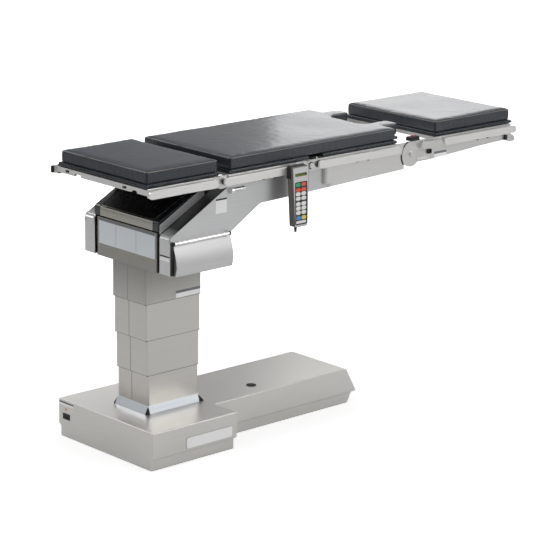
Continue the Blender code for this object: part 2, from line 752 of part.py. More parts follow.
def build_carriage():
    width = SPIDER_HALF_WIDTH
    low = TILT_Z - SPIDER_HALF_HEIGHT
    outline = rounded([
        (-width, low, SPIDER_CORNER), (width, low, SPIDER_CORNER),
        (width, BRIDGE_Z + FUSE), (-width, BRIDGE_Z + FUSE),
    ])
    spider = prism("tilt_spider", outline, "X", *SPIDER_X)
    journal_x = (LUG_X[0] - JOURNAL_OVERHANG, LUG_X[1] + LUG_THICKNESS + JOURNAL_OVERHANG)
    fuse(spider, cylinder("journals", "X", (0.0, TILT_Z), JOURNAL_RADIUS, *journal_x))
    cheek_out = SHROUD_IN - GAP
    bridge = block("bridge", CHEEK_X, (-cheek_out, cheek_out), (BRIDGE_Z, BRIDGE_Z + BRIDGE_THICKNESS))
    fuse(spider, bridge)
    cheek = [
        (CHEEK_X[0], CHEEK_LOW), (CHEEK_X[1], CHEEK_LOW),
        (CHEEK_X[1], cap_z(CHEEK_X[1], CAP_DEPTH + GAP)), (CHEEK_X[0], cap_z(CHEEK_X[0], CAP_DEPTH + GAP)),
    ]
    for side in SIDES.values():
        fuse(spider, layer("cheek", cheek, side, CHEEK_IN, cheek_out))
    reach = cheek_out + CUT_MARGIN
    shaft_hole = cylinder("hole", "Y", (TILT_X, TILT_Z), SHAFT_RADIUS + GAP, -reach, reach)
    place(cut(spider, shaft_hole), "carriage", "cast_steel")

    panel = block("front_panel", (PANEL_FACE, PANEL_FACE + SHEET), (-PANEL_HALF_WIDTH, PANEL_HALF_WIDTH),
                  (HOUSING_LOW, PANEL_TOP))
    for z in (HOUSING_LOW, PANEL_TOP - SHEET):
        fuse(panel, block("fold", (PANEL_FACE + SHEET - FUSE, PANEL_FACE + PANEL_FOLD),
                          (-PANEL_HALF_WIDTH, PANEL_HALF_WIDTH), (z, z + SHEET)))
    place(panel, "carriage", "stainless")

    front = PANEL_FACE + SHEET + GAP
    crest = cap_z(SHROUD_CREST_X, CAP_DEPTH + 0.012)
    outline = [
        (front, HOUSING_LOW), (SHROUD_BACK, HOUSING_LOW), (SHROUD_BACK, SHROUD_BACK_TOP),
        (SHROUD_CREST_X, crest), (front, PANEL_TOP - 0.003),
    ]
    shroud = prism("carriage_shroud", outline, "Y", -SHROUD_OUT, SHROUD_OUT)
    inside = SHROUD_BACK - SHROUD_WALL
    inner_crest = SHROUD_CREST_X - SHROUD_WALL / 2
    room = [
        (front - DEEP_CUT, HOUSING_LOW - DEEP_CUT), (inside, HOUSING_LOW - DEEP_CUT),
        (inside, SHROUD_BACK_TOP - SHROUD_WALL / 2), (inner_crest, crest - SHROUD_WALL),
        (inner_crest, CAP_BACK_TOP), (front - DEEP_CUT, CAP_BACK_TOP),
    ]
    cut(shroud, prism("room", room, "Y", -SHROUD_IN, SHROUD_IN))
    for side in SIDES.values():
        y = span(side, SHROUD_IN - SHROUD_RETURN, SHROUD_IN + FUSE)
        z = (HOUSING_LOW + 2 * SHEET + 0.002, PANEL_TOP - 2 * SHEET - 0.003)
        fuse(shroud, block("return", (front, front + SHEET), y, z))
    reach = SHROUD_OUT + CUT_MARGIN
    shaft_hole = cylinder("hole", "Y", (TILT_X, TILT_Z), SHAFT_RADIUS + 2 * GAP, -reach, reach)
    place(cut(shroud, shaft_hole), "carriage", "black_plastic")

    outline = [
        (CAP_FACE, cap_z(CAP_FACE, CAP_DEPTH)), (CAP_BACK, cap_z(CAP_BACK, CAP_DEPTH)),
        (CAP_BACK, CAP_BACK_TOP), (CAP_FACE, CAP_FRONT_TOP),
    ]
    hollow = [
        (CAP_FACE + SHEET, cap_z(CAP_FACE, 2 * CAP_DEPTH)),
        (CAP_BACK - SHEET, cap_z(CAP_BACK, 2 * CAP_DEPTH)),
        (CAP_BACK - SHEET, cap_z(CAP_BACK - SHEET, 1.2 * SHEET)),
        (CAP_FACE + SHEET, cap_z(CAP_FACE + SHEET, 1.2 * SHEET)),
    ]
    cap = prism("top_cap", outline, "Y", -CAP_MIDDLE_HALF, CAP_MIDDLE_HALF)
    place(cut(cap, prism("hollow", hollow, "Y", -CAP_HALF_WIDTH, CAP_HALF_WIDTH)), "carriage", "stainless")
    for name, side in SIDES.items():
        trim = layer("cap_trim_" + name, outline, side, CAP_MIDDLE_HALF + GAP, CAP_HALF_WIDTH)
        place(trim, "carriage", "black_plastic")

    seat = BRIDGE_Z + BRIDGE_THICKNESS + GAP
    half = TILT_DRIVE_HALF
    drive = block("tilt_drive", TILT_DRIVE_X, (-half, half), (seat, seat + TILT_DRIVE_HEIGHT))
    motor_centre = (sum(TILT_DRIVE_X) / 2, seat + TILT_DRIVE_HEIGHT / 2)
    fuse(drive, cylinder("motor", "Y", motor_centre, TILT_MOTOR_RADIUS, -TILT_MOTOR_END, FUSE - half))
    place(drive, "carriage", "cast_steel")


# Table frame: shaft, arms, drive and seat section

def arm_outline():
    crest = ARM_FACE + (ARM_TOP - ARM_SHOULDER) / math.tan(ARM_SLOPE)
    return rounded([
        (ARM_FACE, ARM_LOW), (ARM_ROOT, ARM_LOW), (ARM_ROOT, ARM_ROOT_TOP, 0.006),
        (ARM_KNEE_X, ARM_KNEE_Z, 0.020), (ARM_END, ARM_END_LOW), (ARM_END, ARM_TOP),
        (crest, ARM_TOP, 0.010), (ARM_FACE, ARM_SHOULDER, 0.003),
    ])


def build_arms():
    shaft_end = ARM_OUT - ARM_WALL - RUNNING_FIT
    shaft = cylinder("trunnion_shaft", "Y", (TILT_X, TILT_Z), SHAFT_RADIUS, -shaft_end, shaft_end)
    place(shaft, "table", "bright_steel")
    for name, side in SIDES.items():
        web = ARM_OUT - ARM_WALL
        arm = layer("arm_" + name, arm_outline(), side, ARM_IN, ARM_OUT)
        cut(arm, layer("hollow", shrunk(arm_outline(), ARM_WALL), side, ARM_IN - 0.01, web))
        hub = span(side, web - HUB_LENGTH, web + FUSE)
        fuse(arm, cylinder("hub", "Y", (TILT_X, TILT_Z), HUB_RADIUS, *hub))
        socket = span(side, web - HUB_LENGTH - CUT_MARGIN, web - GAP)
        cut(arm, cylinder("socket", "Y", (TILT_X, TILT_Z), SHAFT_RADIUS + GAP, *socket))
        stop_y = side * ARM_OUT
        stop = cylinder("stop", "X", (stop_y, STOP_Z), STOP_RADIUS, *STOP_X, SMALL_SIDES)
        trim = layer("trim", rectangle((STOP_X[0] - 0.01, STOP_X[1] + 0.01), (STOP_Z - 0.02, STOP_Z + 0.02)),
                     side, web - 0.02, web + FUSE)
        fuse(arm, cut(stop, trim))
        place(arm, "table", "stainless")


def cover_profile(wall):
    """Bulged profile of the drive cover in Y and Z, on the near side."""
    half = (DRIVE_COVER_TOP - DRIVE_COVER_CREASE) / 2
    bulge = DRIVE_COVER_BULGE - wall
    foot = -ARM_OUT - GAP
    points = [(foot + wall, DRIVE_COVER_TOP - wall)]
    for step in range(1, DRIVE_COVER_STEPS + 1):
        share = step / DRIVE_COVER_STEPS
        z = DRIVE_COVER_TOP - wall - share * (2 * half - wall)
        points.append((foot - bulge * math.sin(share * math.pi / 2), z))
    points.append((foot - bulge * 0.62, DRIVE_COVER_LOW + DRIVE_COVER_CURL + wall))
    points.append((foot - bulge * 0.40, DRIVE_COVER_LOW + wall))
    points.append((foot + wall, DRIVE_COVER_LOW + wall))
    return points


def build_drive():
    cover = prism("drive_cover", cover_profile(0.0), "X", *COVER_X)
    inside = (COVER_X[0] + DRIVE_COVER_WALL, COVER_X[1] - DRIVE_COVER_WALL)
    cut(cover, prism("hollow", cover_profile(DRIVE_COVER_WALL), "X", *inside))
    place(cover, "table", "stainless")

    rod = cylinder("grab_rod", "X", (-ROD_Y, ROD_Z), ROD_RADIUS, *ROD_X, SMALL_SIDES)
    for x in (ROD_X[0] + ROD_CAP / 2, ROD_X[1] - ROD_CAP / 2):
        half = ROD_CAP / 2 - 0.001
        fuse(rod, cylinder("stand", "Y", (x, ROD_Z), half, -ROD_Y, -ARM_OUT - GAP, SMALL_SIDES))
    place(rod, "table", "chrome")

    centre = (-(ARM_IN + ARM_OUT - ARM_WALL) / 2, DRIVE_Z)
    drive = cylinder("trendelenburg_drive", "X", centre, DRIVE_RADIUS, *DRIVE_X)
    floor = ARM_LOW + ARM_WALL + GAP
    y = (centre[0] - SADDLE_WIDTH / 2, centre[0] + SADDLE_WIDTH / 2)
    for start in (DRIVE_X[0] + SADDLE_INSET, DRIVE_X[1] - SADDLE_INSET - SADDLE_WIDTH):
        fuse(drive, block("saddle", (start, start + SADDLE_WIDTH), y, (floor, DRIVE_Z)))
    place(drive, "table", "cast_steel")


def flange(side, start, end):
    top = TOP_LOW - GAP
    return block("flange", (start, end), span(side, FLANGE_IN, SIDE_IN + FUSE), (top - FLANGE_THICKNESS, top))


def crossbar(start, low=None, width=CROSSBAR_WIDTH):
    top = TOP_LOW - GAP
    bottom = top - CROSSBAR_DEPTH if low is None else low
    reach = SIDE_IN + FUSE
    return block("crossbar", (start, start + width), (-reach, reach), (bottom, top))


def top_plate(name, outline, body):
    plate = prism(name, outline, "Z", TOP_LOW, TOP_LOW + TOP_THICKNESS)
    place(plate, body, "phenolic")


def pad(name, outline):
    """Plain cushion with eased top edges, resting on its top plate."""
    cushion = prism(name, outline, "Z", PAD_LOW, PAD_TOP)
    mesh = bmesh.new()
    mesh.from_mesh(cushion.data)
    rim = [edge for edge in mesh.edges if all(vert.co.z > PAD_TOP - GAP for vert in edge.verts)]
    bmesh.ops.bevel(mesh, geom=rim, offset=PAD_EDGE, segments=2, profile=0.5, affect="EDGES")
    mesh.to_mesh(cushion.data)
    mesh.free()
    return cushion


def fold_face_x(z, clearance):
    return (z - BACK_HINGE_Z) * math.tan(FOLD_HALF_ANGLE) + clearance


def fold_cutter(direction):
    """Wedge that trims a cushion back from the hinge line, on one side of it."""
    low = TOP_LOW
    high = PAD_TOP + 0.02
    outline = [
        (BACK_HINGE_X - direction * 0.3, low), (BACK_HINGE_X + direction * fold_face_x(low, GAP), low),
        (BACK_HINGE_X + direction * fold_face_x(high, GAP), high), (BACK_HINGE_X - direction * 0.3, high),
    ]
    return prism("fold_cutter", outline, "Y", -0.4, 0.4)


def seat_plan(start, half_width, inset):
    prong = SEAT_PRONG_TIP - inset
    half = [
        (start, half_width, 0.0), (SEAT_PAD_SIDE_END - inset, half_width, 0.015),
        (SEAT_PAD_SHOULDER - inset, SEAT_PRONG_OUT, 0.035), (prong, SEAT_PRONG_OUT, 0.022),
        (prong, SEAT_PRONG_IN, 0.020), (SEAT_CUTOUT, SEAT_PRONG_IN, 0.085),
    ]
    mirrored = [(x, -y, radius) for x, y, radius in half]
    return rounded(mirrored + half[::-1])


def seat_side(side):
    middle = (BAR_LOW + BAR_HIGH) / 2
    reach = (BAR_HIGH - BAR_LOW) / 2 - 0.0001
    outline = rounded([
        (BACK_HINGE_X - reach, BAR_LOW, reach), (SEAT_STEP_X, BAR_LOW, SEAT_STEP_RADIUS),
        (SEAT_STEP_X + SEAT_STEP_RUN, SEAT_STEP_LOW, SEAT_STEP_RUN * 0.8), (SEAT_END_X, SEAT_END_LOW),
        (SEAT_END_X, middle), (LEG_HINGE_X, middle), (LEG_HINGE_X, BAR_HIGH),
        (BACK_HINGE_X - reach, BAR_HIGH, reach),
    ])
    plate = layer("seat_side", outline, side, SIDE_IN, SIDE_OUT)
    hub_room = LEG_HUB_RADIUS + LEG_HUB_CLEARANCE
    low, high = span(side, SIDE_IN - CUT_MARGIN, SIDE_OUT + CUT_MARGIN)
    cut(plate, cylinder("hub_room", "Y", (LEG_HINGE_X, LEG_HINGE_Z), hub_room, low, high, HUB_SIDES))
    lug_corner = LEG_LUG_RADIUS * 0.997
    lug = rounded([
        (LEG_LUG_START, LEG_HINGE_Z - LEG_LUG_RADIUS),
        (LEG_HINGE_X + LEG_LUG_RADIUS, LEG_HINGE_Z - LEG_LUG_RADIUS, lug_corner),
        (LEG_HINGE_X + LEG_LUG_RADIUS, LEG_HINGE_Z + LEG_LUG_RADIUS, lug_corner),
        (LEG_LUG_START, LEG_HINGE_Z + LEG_LUG_RADIUS),
    ])
    back_pin = span(side, INNER_LUG_IN - 0.003, SIDE_IN + FUSE)
    boss = span(side, SIDE_OUT - FUSE, PIN_END)
    leg_pin = span(side, SIDE_IN - 2 * FUSE, PIN_END)
    seat_x = (LEG_LUG_START, LEG_LUG_START + LUG_SEAT_LENGTH)
    seat_z = (LEG_HINGE_Z - LUG_SEAT_HALF, LEG_HINGE_Z + LUG_SEAT_HALF)
    return fuse(
        plate,
        layer("leg_lug", lug, side, INNER_LUG_IN, SIDE_IN - FUSE),
        block("lug_seat", seat_x, span(side, INNER_LUG_IN, SIDE_IN + FUSE), seat_z),
        cylinder("leg_pin", "Y", (LEG_HINGE_X, LEG_HINGE_Z), LEG_PIN_RADIUS, *leg_pin, SMALL_SIDES),
        cylinder("back_pin", "Y", (BACK_HINGE_X, BACK_HINGE_Z), PIN_RADIUS, *back_pin, SMALL_SIDES),
        cylinder("back_boss", "Y", (BACK_HINGE_X, BACK_HINGE_Z), BOSS_RADIUS, *boss, SMALL_SIDES),
        flange(side, SEAT_FLANGE_START, SEAT_PAD_SIDE_END),
        cylinder("arm_bolt", "Y", (ARM_END - ARM_BOLT_INSET, ARM_TOP - ARM_BOLT_DROP), ARM_BOLT_RADIUS,
                 *span(side, ARM_OUT + GAP, SIDE_IN + FUSE), SMALL_SIDES),
    )


def build_seat():
    frame = seat_side(SIDES["near"])
    frame.name = "seat_frame"
    fuse(frame, crossbar(ARM_END + GAP, SEAT_STEP_LOW + SEAT_BAR_LIFT, SEAT_BAR_WIDTH))
    fuse(frame, crossbar(SEAT_CUTOUT - SEAT_END_BAR_INSET))
    fuse(frame, seat_side(SIDES["far"]))
    place(frame, "table", "stainless")

    plate_start = BACK_HINGE_X + fold_face_x(TOP_LOW + TOP_THICKNESS, 2 * GAP)
    top_plate("seat_top", seat_plan(plate_start, TOP_HALF_WIDTH, 0.002), "table")
    cushion = pad("seat_pad", seat_plan(BACK_HINGE_X, PAD_HALF_WIDTH, 0.0))
    place(cut(cushion, fold_cutter(1)), "table", "vinyl")

    foot, crest = fold_face_x(PAD_LOW, 0.0), fold_face_x(PAD_TOP, 0.0)
    outline = [
        (BACK_HINGE_X - foot, PAD_LOW), (BACK_HINGE_X + foot, PAD_LOW),
        (BACK_HINGE_X + crest, PAD_TOP), (BACK_HINGE_X - crest, PAD_TOP),
    ]
    place(prism("cushion_fold", outline, "Y", -PAD_HALF_WIDTH, PAD_HALF_WIDTH), "table", "vinyl")


# Back and head sections

def build_back():
    lug_reach = BACK_LUG_REACH
    lug_corner = BACK_LUG_REACH * 0.995
    lug_start = BACK_END - BACK_LUG_LENGTH
    head_lug_end = BACK_START + HEAD_LUG_LENGTH
    root_low = HEAD_KNUCKLE_LOW + HEAD_LUG_RISE + 0.003
    frame = None
    for side in SIDES.values():
        side_bar = rectangle((BACK_START, BACK_END), (BAR_LOW, BAR_HIGH))
        plate = layer("back_frame", side_bar, side, SIDE_IN, SIDE_OUT)
        low, high = BACK_HINGE_Z - lug_reach, BACK_HINGE_Z + lug_reach
        seat_lug = rounded([
            (lug_start, low), (BACK_HINGE_X + lug_reach, low, lug_corner),
            (BACK_HINGE_X + lug_reach, high, lug_corner), (lug_start, high),
        ])
        head_lug = rounded([
            (HEAD_HINGE_X - HEAD_LUG_TIP, HEAD_KNUCKLE_LOW, HEAD_LUG_TIP * 0.9),
            (head_lug_end, HEAD_KNUCKLE_LOW + HEAD_LUG_RISE), (head_lug_end, BAR_HIGH - 2 * FUSE),
            (HEAD_HINGE_X - HEAD_LUG_TIP, BAR_HIGH - 2 * FUSE, HEAD_LUG_TIP / 2),
        ])
        fuse(plate, layer("seat_lug", seat_lug, side, INNER_LUG_IN, SIDE_IN - FUSE))
        root = rectangle((lug_start, BACK_END - 0.005), (low + 0.002, high - 0.002))
        fuse(plate, layer("seat_lug_root", root, side, INNER_LUG_IN, SIDE_IN + FUSE))
        fuse(plate, layer("head_lug", head_lug, side, INNER_LUG_IN, SIDE_IN - FUSE))
        root = rectangle((BACK_START + 0.002, head_lug_end), (root_low, BAR_HIGH - 0.004))
        fuse(plate, layer("head_lug_root", root, side, INNER_LUG_IN, SIDE_IN + FUSE))
        pin = span(side, SIDE_IN - 2 * FUSE, PIN_END)
        fuse(plate, cylinder("head_pin", "Y", (HEAD_HINGE_X, HEAD_HINGE_Z), PIN_RADIUS, *pin, SMALL_SIDES))
        bore = span(side, INNER_LUG_IN - CUT_MARGIN, SIDE_OUT + CUT_MARGIN)
        cut(plate, cylinder("bore", "Y", (BACK_HINGE_X, BACK_HINGE_Z), PIN_RADIUS + GAP, *bore, SMALL_SIDES))
        fuse(plate, flange(side, BACK_START + 0.03, BACK_END - 0.01))
        if frame is None:
            frame = plate
            fuse(frame, crossbar(BACK_BAR_X[0]), crossbar(BACK_BAR_X[1]))
        else:
            fuse(frame, plate)
    place(frame, "back", "stainless")

    plate_end = BACK_HINGE_X - fold_face_x(TOP_LOW + TOP_THICKNESS, 2 * GAP)
    half = TOP_HALF_WIDTH
    plate_x = (BACK_PAD_START + BOARD_INSET, plate_end)
    top_plate("back_top", rectangle(plate_x, (-half, half), BOARD_INSET), "back")
    outline = rounded([
        (BACK_PAD_START, -PAD_HALF_WIDTH, PAD_CORNER), (BACK_HINGE_X, -PAD_HALF_WIDTH),
        (BACK_HINGE_X, PAD_HALF_WIDTH), (BACK_PAD_START, PAD_HALF_WIDTH, PAD_CORNER),
    ])
    place(cut(pad("back_pad", outline), fold_cutter(-1)), "back", "vinyl")


def head_crossbar():
    """End bar of the head frame with its sockets and arched recesses."""
    bar = crossbar(HEAD_END, width=0.012)
    bottom = TOP_LOW - GAP - CROSSBAR_DEPTH
    middle = bottom + CROSSBAR_DEPTH / 2
    for y in (0.202, -0.131):
        slot = rectangle((y - 0.013, y + 0.013), (middle - 0.0055, middle + 0.0055), 0.0054)
        cut(bar, prism("slot", slot, "X", HEAD_END - 0.01, HEAD_END + 0.03))
    for y in (0.142, -0.184):
        arch = rounded([
            (y - 0.020, bottom - 0.01), (y + 0.020, bottom - 0.01),
            (y + 0.020, bottom + 0.009, 0.008), (y - 0.020, bottom + 0.009, 0.008),
        ])
        cut(bar, prism("arch", arch, "X", HEAD_END - 0.01, HEAD_END + 0.03))
    return bar


def build_head():
    outline = rounded([
        (HEAD_END, BAR_LOW + 0.008, 0.003), (HEAD_BAR_END - 0.080, BAR_LOW),
        (HEAD_BAR_END, BAR_LOW, 0.018), (HEAD_BAR_END, BAR_HIGH, 0.010), (HEAD_END, BAR_HIGH, 0.003),
    ])
    frame = head_crossbar()
    frame.name = "head_frame"
    fuse(frame, crossbar(0.055))
    for side in SIDES.values():
        plate = layer("side", outline, side, SIDE_IN, SIDE_OUT)
        bore = span(side, SIDE_IN - CUT_MARGIN, SIDE_OUT + CUT_MARGIN)
        cut(plate, cylinder("bore", "Y", (HEAD_HINGE_X, HEAD_HINGE_Z), PIN_RADIUS + GAP, *bore, SMALL_SIDES))
        fuse(frame, plate, flange(side, HEAD_END + 0.005, HEAD_HINGE_X - 0.035))
    place(frame, "head", "stainless")

    half = TOP_HALF_WIDTH
    plate_x = (HEAD_PAD_X[0] + BOARD_INSET, HEAD_PAD_X[1] - BOARD_INSET)
    top_plate("head_top", rectangle(plate_x, (-half, half), BOARD_INSET), "head")
    outline = rectangle(HEAD_PAD_X, (-PAD_HALF_WIDTH, PAD_HALF_WIDTH), PAD_CORNER)
    place(pad("head_pad", outline), "head", "vinyl")


# Leg section

def build_leg():
    hinge = (LEG_HINGE_X, LEG_HINGE_Z)
    frame = None
    for name, side in SIDES.items():
        outline = rounded([
            (LEG_HINGE_X, LEG_LOW), (LEG_BRACKET_END, LEG_LOW, LEG_CORNER), (LEG_BRACKET_END, BAR_HIGH),
            (LEG_HINGE_X, BAR_HIGH),
        ])
        plate_y = span(side, SIDE_IN, SIDE_OUT)
        bracket = cylinder("leg_bracket_" + name, "Y", hinge, LEG_HUB_RADIUS, *plate_y, HUB_SIDES)
        fuse(bracket, layer("arm", outline, side, SIDE_IN, SIDE_OUT))
        bore = span(side, SIDE_IN - CUT_MARGIN, SIDE_OUT + CUT_MARGIN)
        cut(bracket, cylinder("bore", "Y", hinge, LEG_PIN_RADIUS + GAP, *bore, SMALL_SIDES))
        stub = rail_form(STUB_RAIL_X, side, STUB_SPACERS, (), SIDE_OUT - FUSE)
        pin = span(side, SIDE_OUT - FUSE, LEVER_IN + LEVER_THICKNESS)
        lever_centre = (LEVER_X[0], LEVER_Z)
        fuse(bracket, stub, cylinder("lever_pin", "Y", lever_centre, LEVER_PIN_RADIUS, *pin, SMALL_SIDES))
        place(bracket, "leg", "stainless")

        plate = layer("leg_frame", rounded([
            (LEG_START, LEG_LOW, LEG_CORNER), (LEG_MID_X, LEG_MID_LOW), (LEG_END, LEG_END_LOW, LEG_CORNER),
            (LEG_END, BAR_HIGH, LEG_CORNER), (LEG_START, BAR_HIGH),
        ]), side, SIDE_IN, SIDE_OUT)
        ear_start = LEG_END - EAR_LENGTH
        ear_neck = LEG_END - EAR_LENGTH / 5
        ear_tip = FOOT_BAR_X + EAR_HALF - LEG_CORNER / 3
        ear = rounded([
            (ear_start, LEG_END_LOW + 0.002), (ear_neck, FOOT_BAR_Z - EAR_HALF, LEG_CORNER),
            (ear_tip, FOOT_BAR_Z - EAR_HALF, EAR_CORNER), (ear_tip, FOOT_BAR_Z + EAR_HALF, EAR_CORNER),
            (ear_neck, EAR_TOP), (ear_start, EAR_TOP),
        ])
        tongue_end = LEG_TONGUE_START + LEG_TONGUE_LENGTH
        tongue = rectangle((LEG_TONGUE_START, tongue_end), LEG_TONGUE_Z, LEG_CORNER)
        root_z = (LEG_TONGUE_Z[0] + LEG_CORNER, LEG_TONGUE_Z[1] - LEG_CORNER)
        root = rectangle((LEG_START + 0.002, tongue_end - 0.010), root_z)
        fuse(
            plate,
            layer("ear", ear, side, SIDE_IN, SIDE_OUT),
            layer("tongue", tongue, side, INNER_LUG_IN, SIDE_IN - GAP),
            layer("tongue_root", root, side, INNER_LUG_IN, SIDE_IN + FUSE),
            flange(side, LEG_PAD_X[0] + BOARD_INSET, LEG_END - BOARD_INSET),
        )
        if frame is None:
            frame = plate
            bar_end = SIDE_OUT + FOOT_BAR_RADIUS
            centre = (FOOT_BAR_X, FOOT_BAR_Z)
            bar = cylinder("foot_bar", "Y", centre, FOOT_BAR_RADIUS, -bar_end, bar_end, SMALL_SIDES)
            fuse(frame, crossbar(LEG_PAD_X[0] + LEG_BAR_INSET), crossbar(LEG_END - LEG_BAR_INSET), bar)
        else:
            fuse(frame, plate)
    place(frame, "leg", "stainless")

    half = TOP_HALF_WIDTH
    plate_x = (LEG_PAD_X[0] + BOARD_INSET, LEG_PAD_X[1] - BOARD_INSET)
    top_plate("leg_top", rectangle(plate_x, (-half, half), BOARD_INSET), "leg")
    outline = rectangle(LEG_PAD_X, (-PAD_HALF_WIDTH, PAD_HALF_WIDTH), PAD_CORNER)
    place(pad("leg_pad", outline), "leg", "vinyl")


def build_latches():
    for name, side in SIDES.items():
        low = BAR_HIGH + GAP
        y = span(side, *LATCH_Y)
        outline = rounded([
            (LATCH_X[0], low), (LATCH_X[1], low),
            (LATCH_X[1], LATCH_TOP, LATCH_CORNER), (LATCH_X[0], LATCH_TOP, LATCH_CORNER),
        ])
        housing = prism("latch_housing_" + name, outline, "Y", *y)
        saddle_y = span(side, LATCH_Y[1] - FUSE, SIDE_OUT - 0.002)
        saddle_x = (LATCH_X[0] + LATCH_SADDLE_INSET, LATCH_X[1] - LATCH_SADDLE_INSET)
        fuse(housing, block("saddle", saddle_x, saddle_y, (low, low + LATCH_SADDLE)))
        centre_y = side * sum(LATCH_Y) / 2
        button_x = (BUTTON_X - BUTTON_LENGTH / 2, BUTTON_X + BUTTON_LENGTH / 2)
        button_y = (centre_y - BUTTON_WIDTH / 2, centre_y + BUTTON_WIDTH / 2)
        well_x = (button_x[0] - GAP, button_x[1] + GAP)
        well_y = (button_y[0] - GAP, button_y[1] + GAP)
        seat = LATCH_TOP - BUTTON_WELL
        cut(housing, block("well", well_x, well_y, (seat, LATCH_TOP + CUT_MARGIN)))
        place(housing, "leg", "black_plastic")
        rest = seat + BUTTON_TRAVEL + RUNNING_FIT
        button = block("latch_button_" + name, button_x, button_y, (rest, LATCH_TOP + BUTTON_PROUD))
        place(button, "button_" + name, "red_plastic")


def build_levers():
    tail_corner = LEVER_HALF_HEIGHT * 0.98
    for name, side in SIDES.items():
        low, high = LEVER_Z - LEVER_HALF_HEIGHT, LEVER_Z + LEVER_HALF_HEIGHT
        outline = rounded([
            (LEVER_X[0] - LEVER_TAIL, low, tail_corner), (LEVER_X[1], low + LEVER_TAPER, LEG_CORNER),
            (LEVER_X[1], high - LEVER_TAPER, LEG_CORNER), (LEVER_X[0] - LEVER_TAIL, high, tail_corner),
        ])
        lever = layer("leg_lever_" + name, outline, side, LEVER_IN, LEVER_IN + LEVER_THICKNESS)
        hub = span(side, SIDE_OUT + GAP, LEVER_IN + FUSE)
        fuse(lever, cylinder("hub", "Y", (LEVER_X[0], LEVER_Z), LEVER_HUB_RADIUS, *hub, SMALL_SIDES))
        bore = span(side, SIDE_OUT - CUT_MARGIN, LEVER_IN + LEVER_THICKNESS + CUT_MARGIN)
        cut(lever, cylinder("bore", "Y", (LEVER_X[0], LEVER_Z), LEVER_PIN_RADIUS + GAP, *bore, SMALL_SIDES))
        place(lever, "lever_" + name, "bright_steel")


# Accessory rails and handset

def rail_form(x, side, spacers, notches, seat):
    """Rail with rounded ends, notches in its lower edge and spacers behind it."""
    rail = layer("rail", rectangle(x, (RAIL_LOW, RAIL_HIGH), RAIL_CORNER), side, RAIL_IN, RAIL_OUT)
    for place_x in notches:
        notch_x = (place_x - NOTCH_WIDTH / 2, place_x + NOTCH_WIDTH / 2)
        notch_z = (RAIL_LOW - CUT_MARGIN, RAIL_LOW + NOTCH_DEPTH)
        notch_depths = (RAIL_IN - CUT_MARGIN, RAIL_OUT + CUT_MARGIN)
        cut(rail, layer("notch", rectangle(notch_x, notch_z), side, *notch_depths))
    middle = (RAIL_LOW + RAIL_HIGH) / 2
    for place_x in spacers:
        reach = span(side, seat, RAIL_IN + FUSE)
        fuse(rail, cylinder("spacer", "Y", (place_x, middle), SPACER_RADIUS, *reach, SMALL_SIDES))
    return rail


def build_rails():
    seat = SIDE_OUT + GAP
    plans = (
        ("head_rail_", "head", HEAD_RAIL_X, (-0.170, 0.070), (-0.065, -0.050)),
        ("back_rail_", "back", BACK_RAIL_X, (0.200, 0.400), (0.330, 0.345)),
        ("seat_rail_", "table", SEAT_RAIL_X, (0.650, 0.990), (0.815, 0.830)),
        ("leg_rail_", "leg", LEG_RAIL_X, (1.340, 1.660), (1.534, 1.549)),
    )
    for prefix, body, x, spacers, notches in plans:
        for name, side in SIDES.items():
            rail = rail_form(x, side, spacers, notches, seat)
            rail.name = prefix + name
            place(rail, body, "bright_steel")


def build_handset():
    low, top = HANDSET_Z
    outline = rounded([
        (HANDSET_LOW_X[0], low, 0.008), (HANDSET_LOW_X[1], low, 0.008),
        (HANDSET_TOP_X[1], top, 0.006), (HANDSET_TOP_X[0], top, 0.006),
    ])
    handset = prism("handset", outline, "Y", -HANDSET_FACE, -HANDSET_REAR)
    rest = RAIL_HIGH + GAP
    fuse(
        handset,
        block("bridge", HOOK_X, (-HANDSET_REAR - FUSE, -HOOK_TONGUE[0]), (rest, rest + HOOK_THICKNESS)),
        block("tongue", HOOK_X, (-HOOK_TONGUE[1], -HOOK_TONGUE[0]), (rest - HOOK_DROP, rest + FUSE)),
        cylinder("relief", "Z", (NUB_X, -NUB_Y), NUB_RADIUS, low - NUB_LENGTH, low + NUB_RADIUS, SMALL_SIDES),
    )
    place(handset, "handset", "handset_grey")


clear_scene()
make_materials()
make_bodies()
build_base()
build_rocker()
build_collar()
build_column()
build_column_head()
build_carriage()
build_arms()
build_drive()
build_seat()
build_back()
build_head()
build_leg()
build_latches()
build_levers()
build_rails()
build_handset()
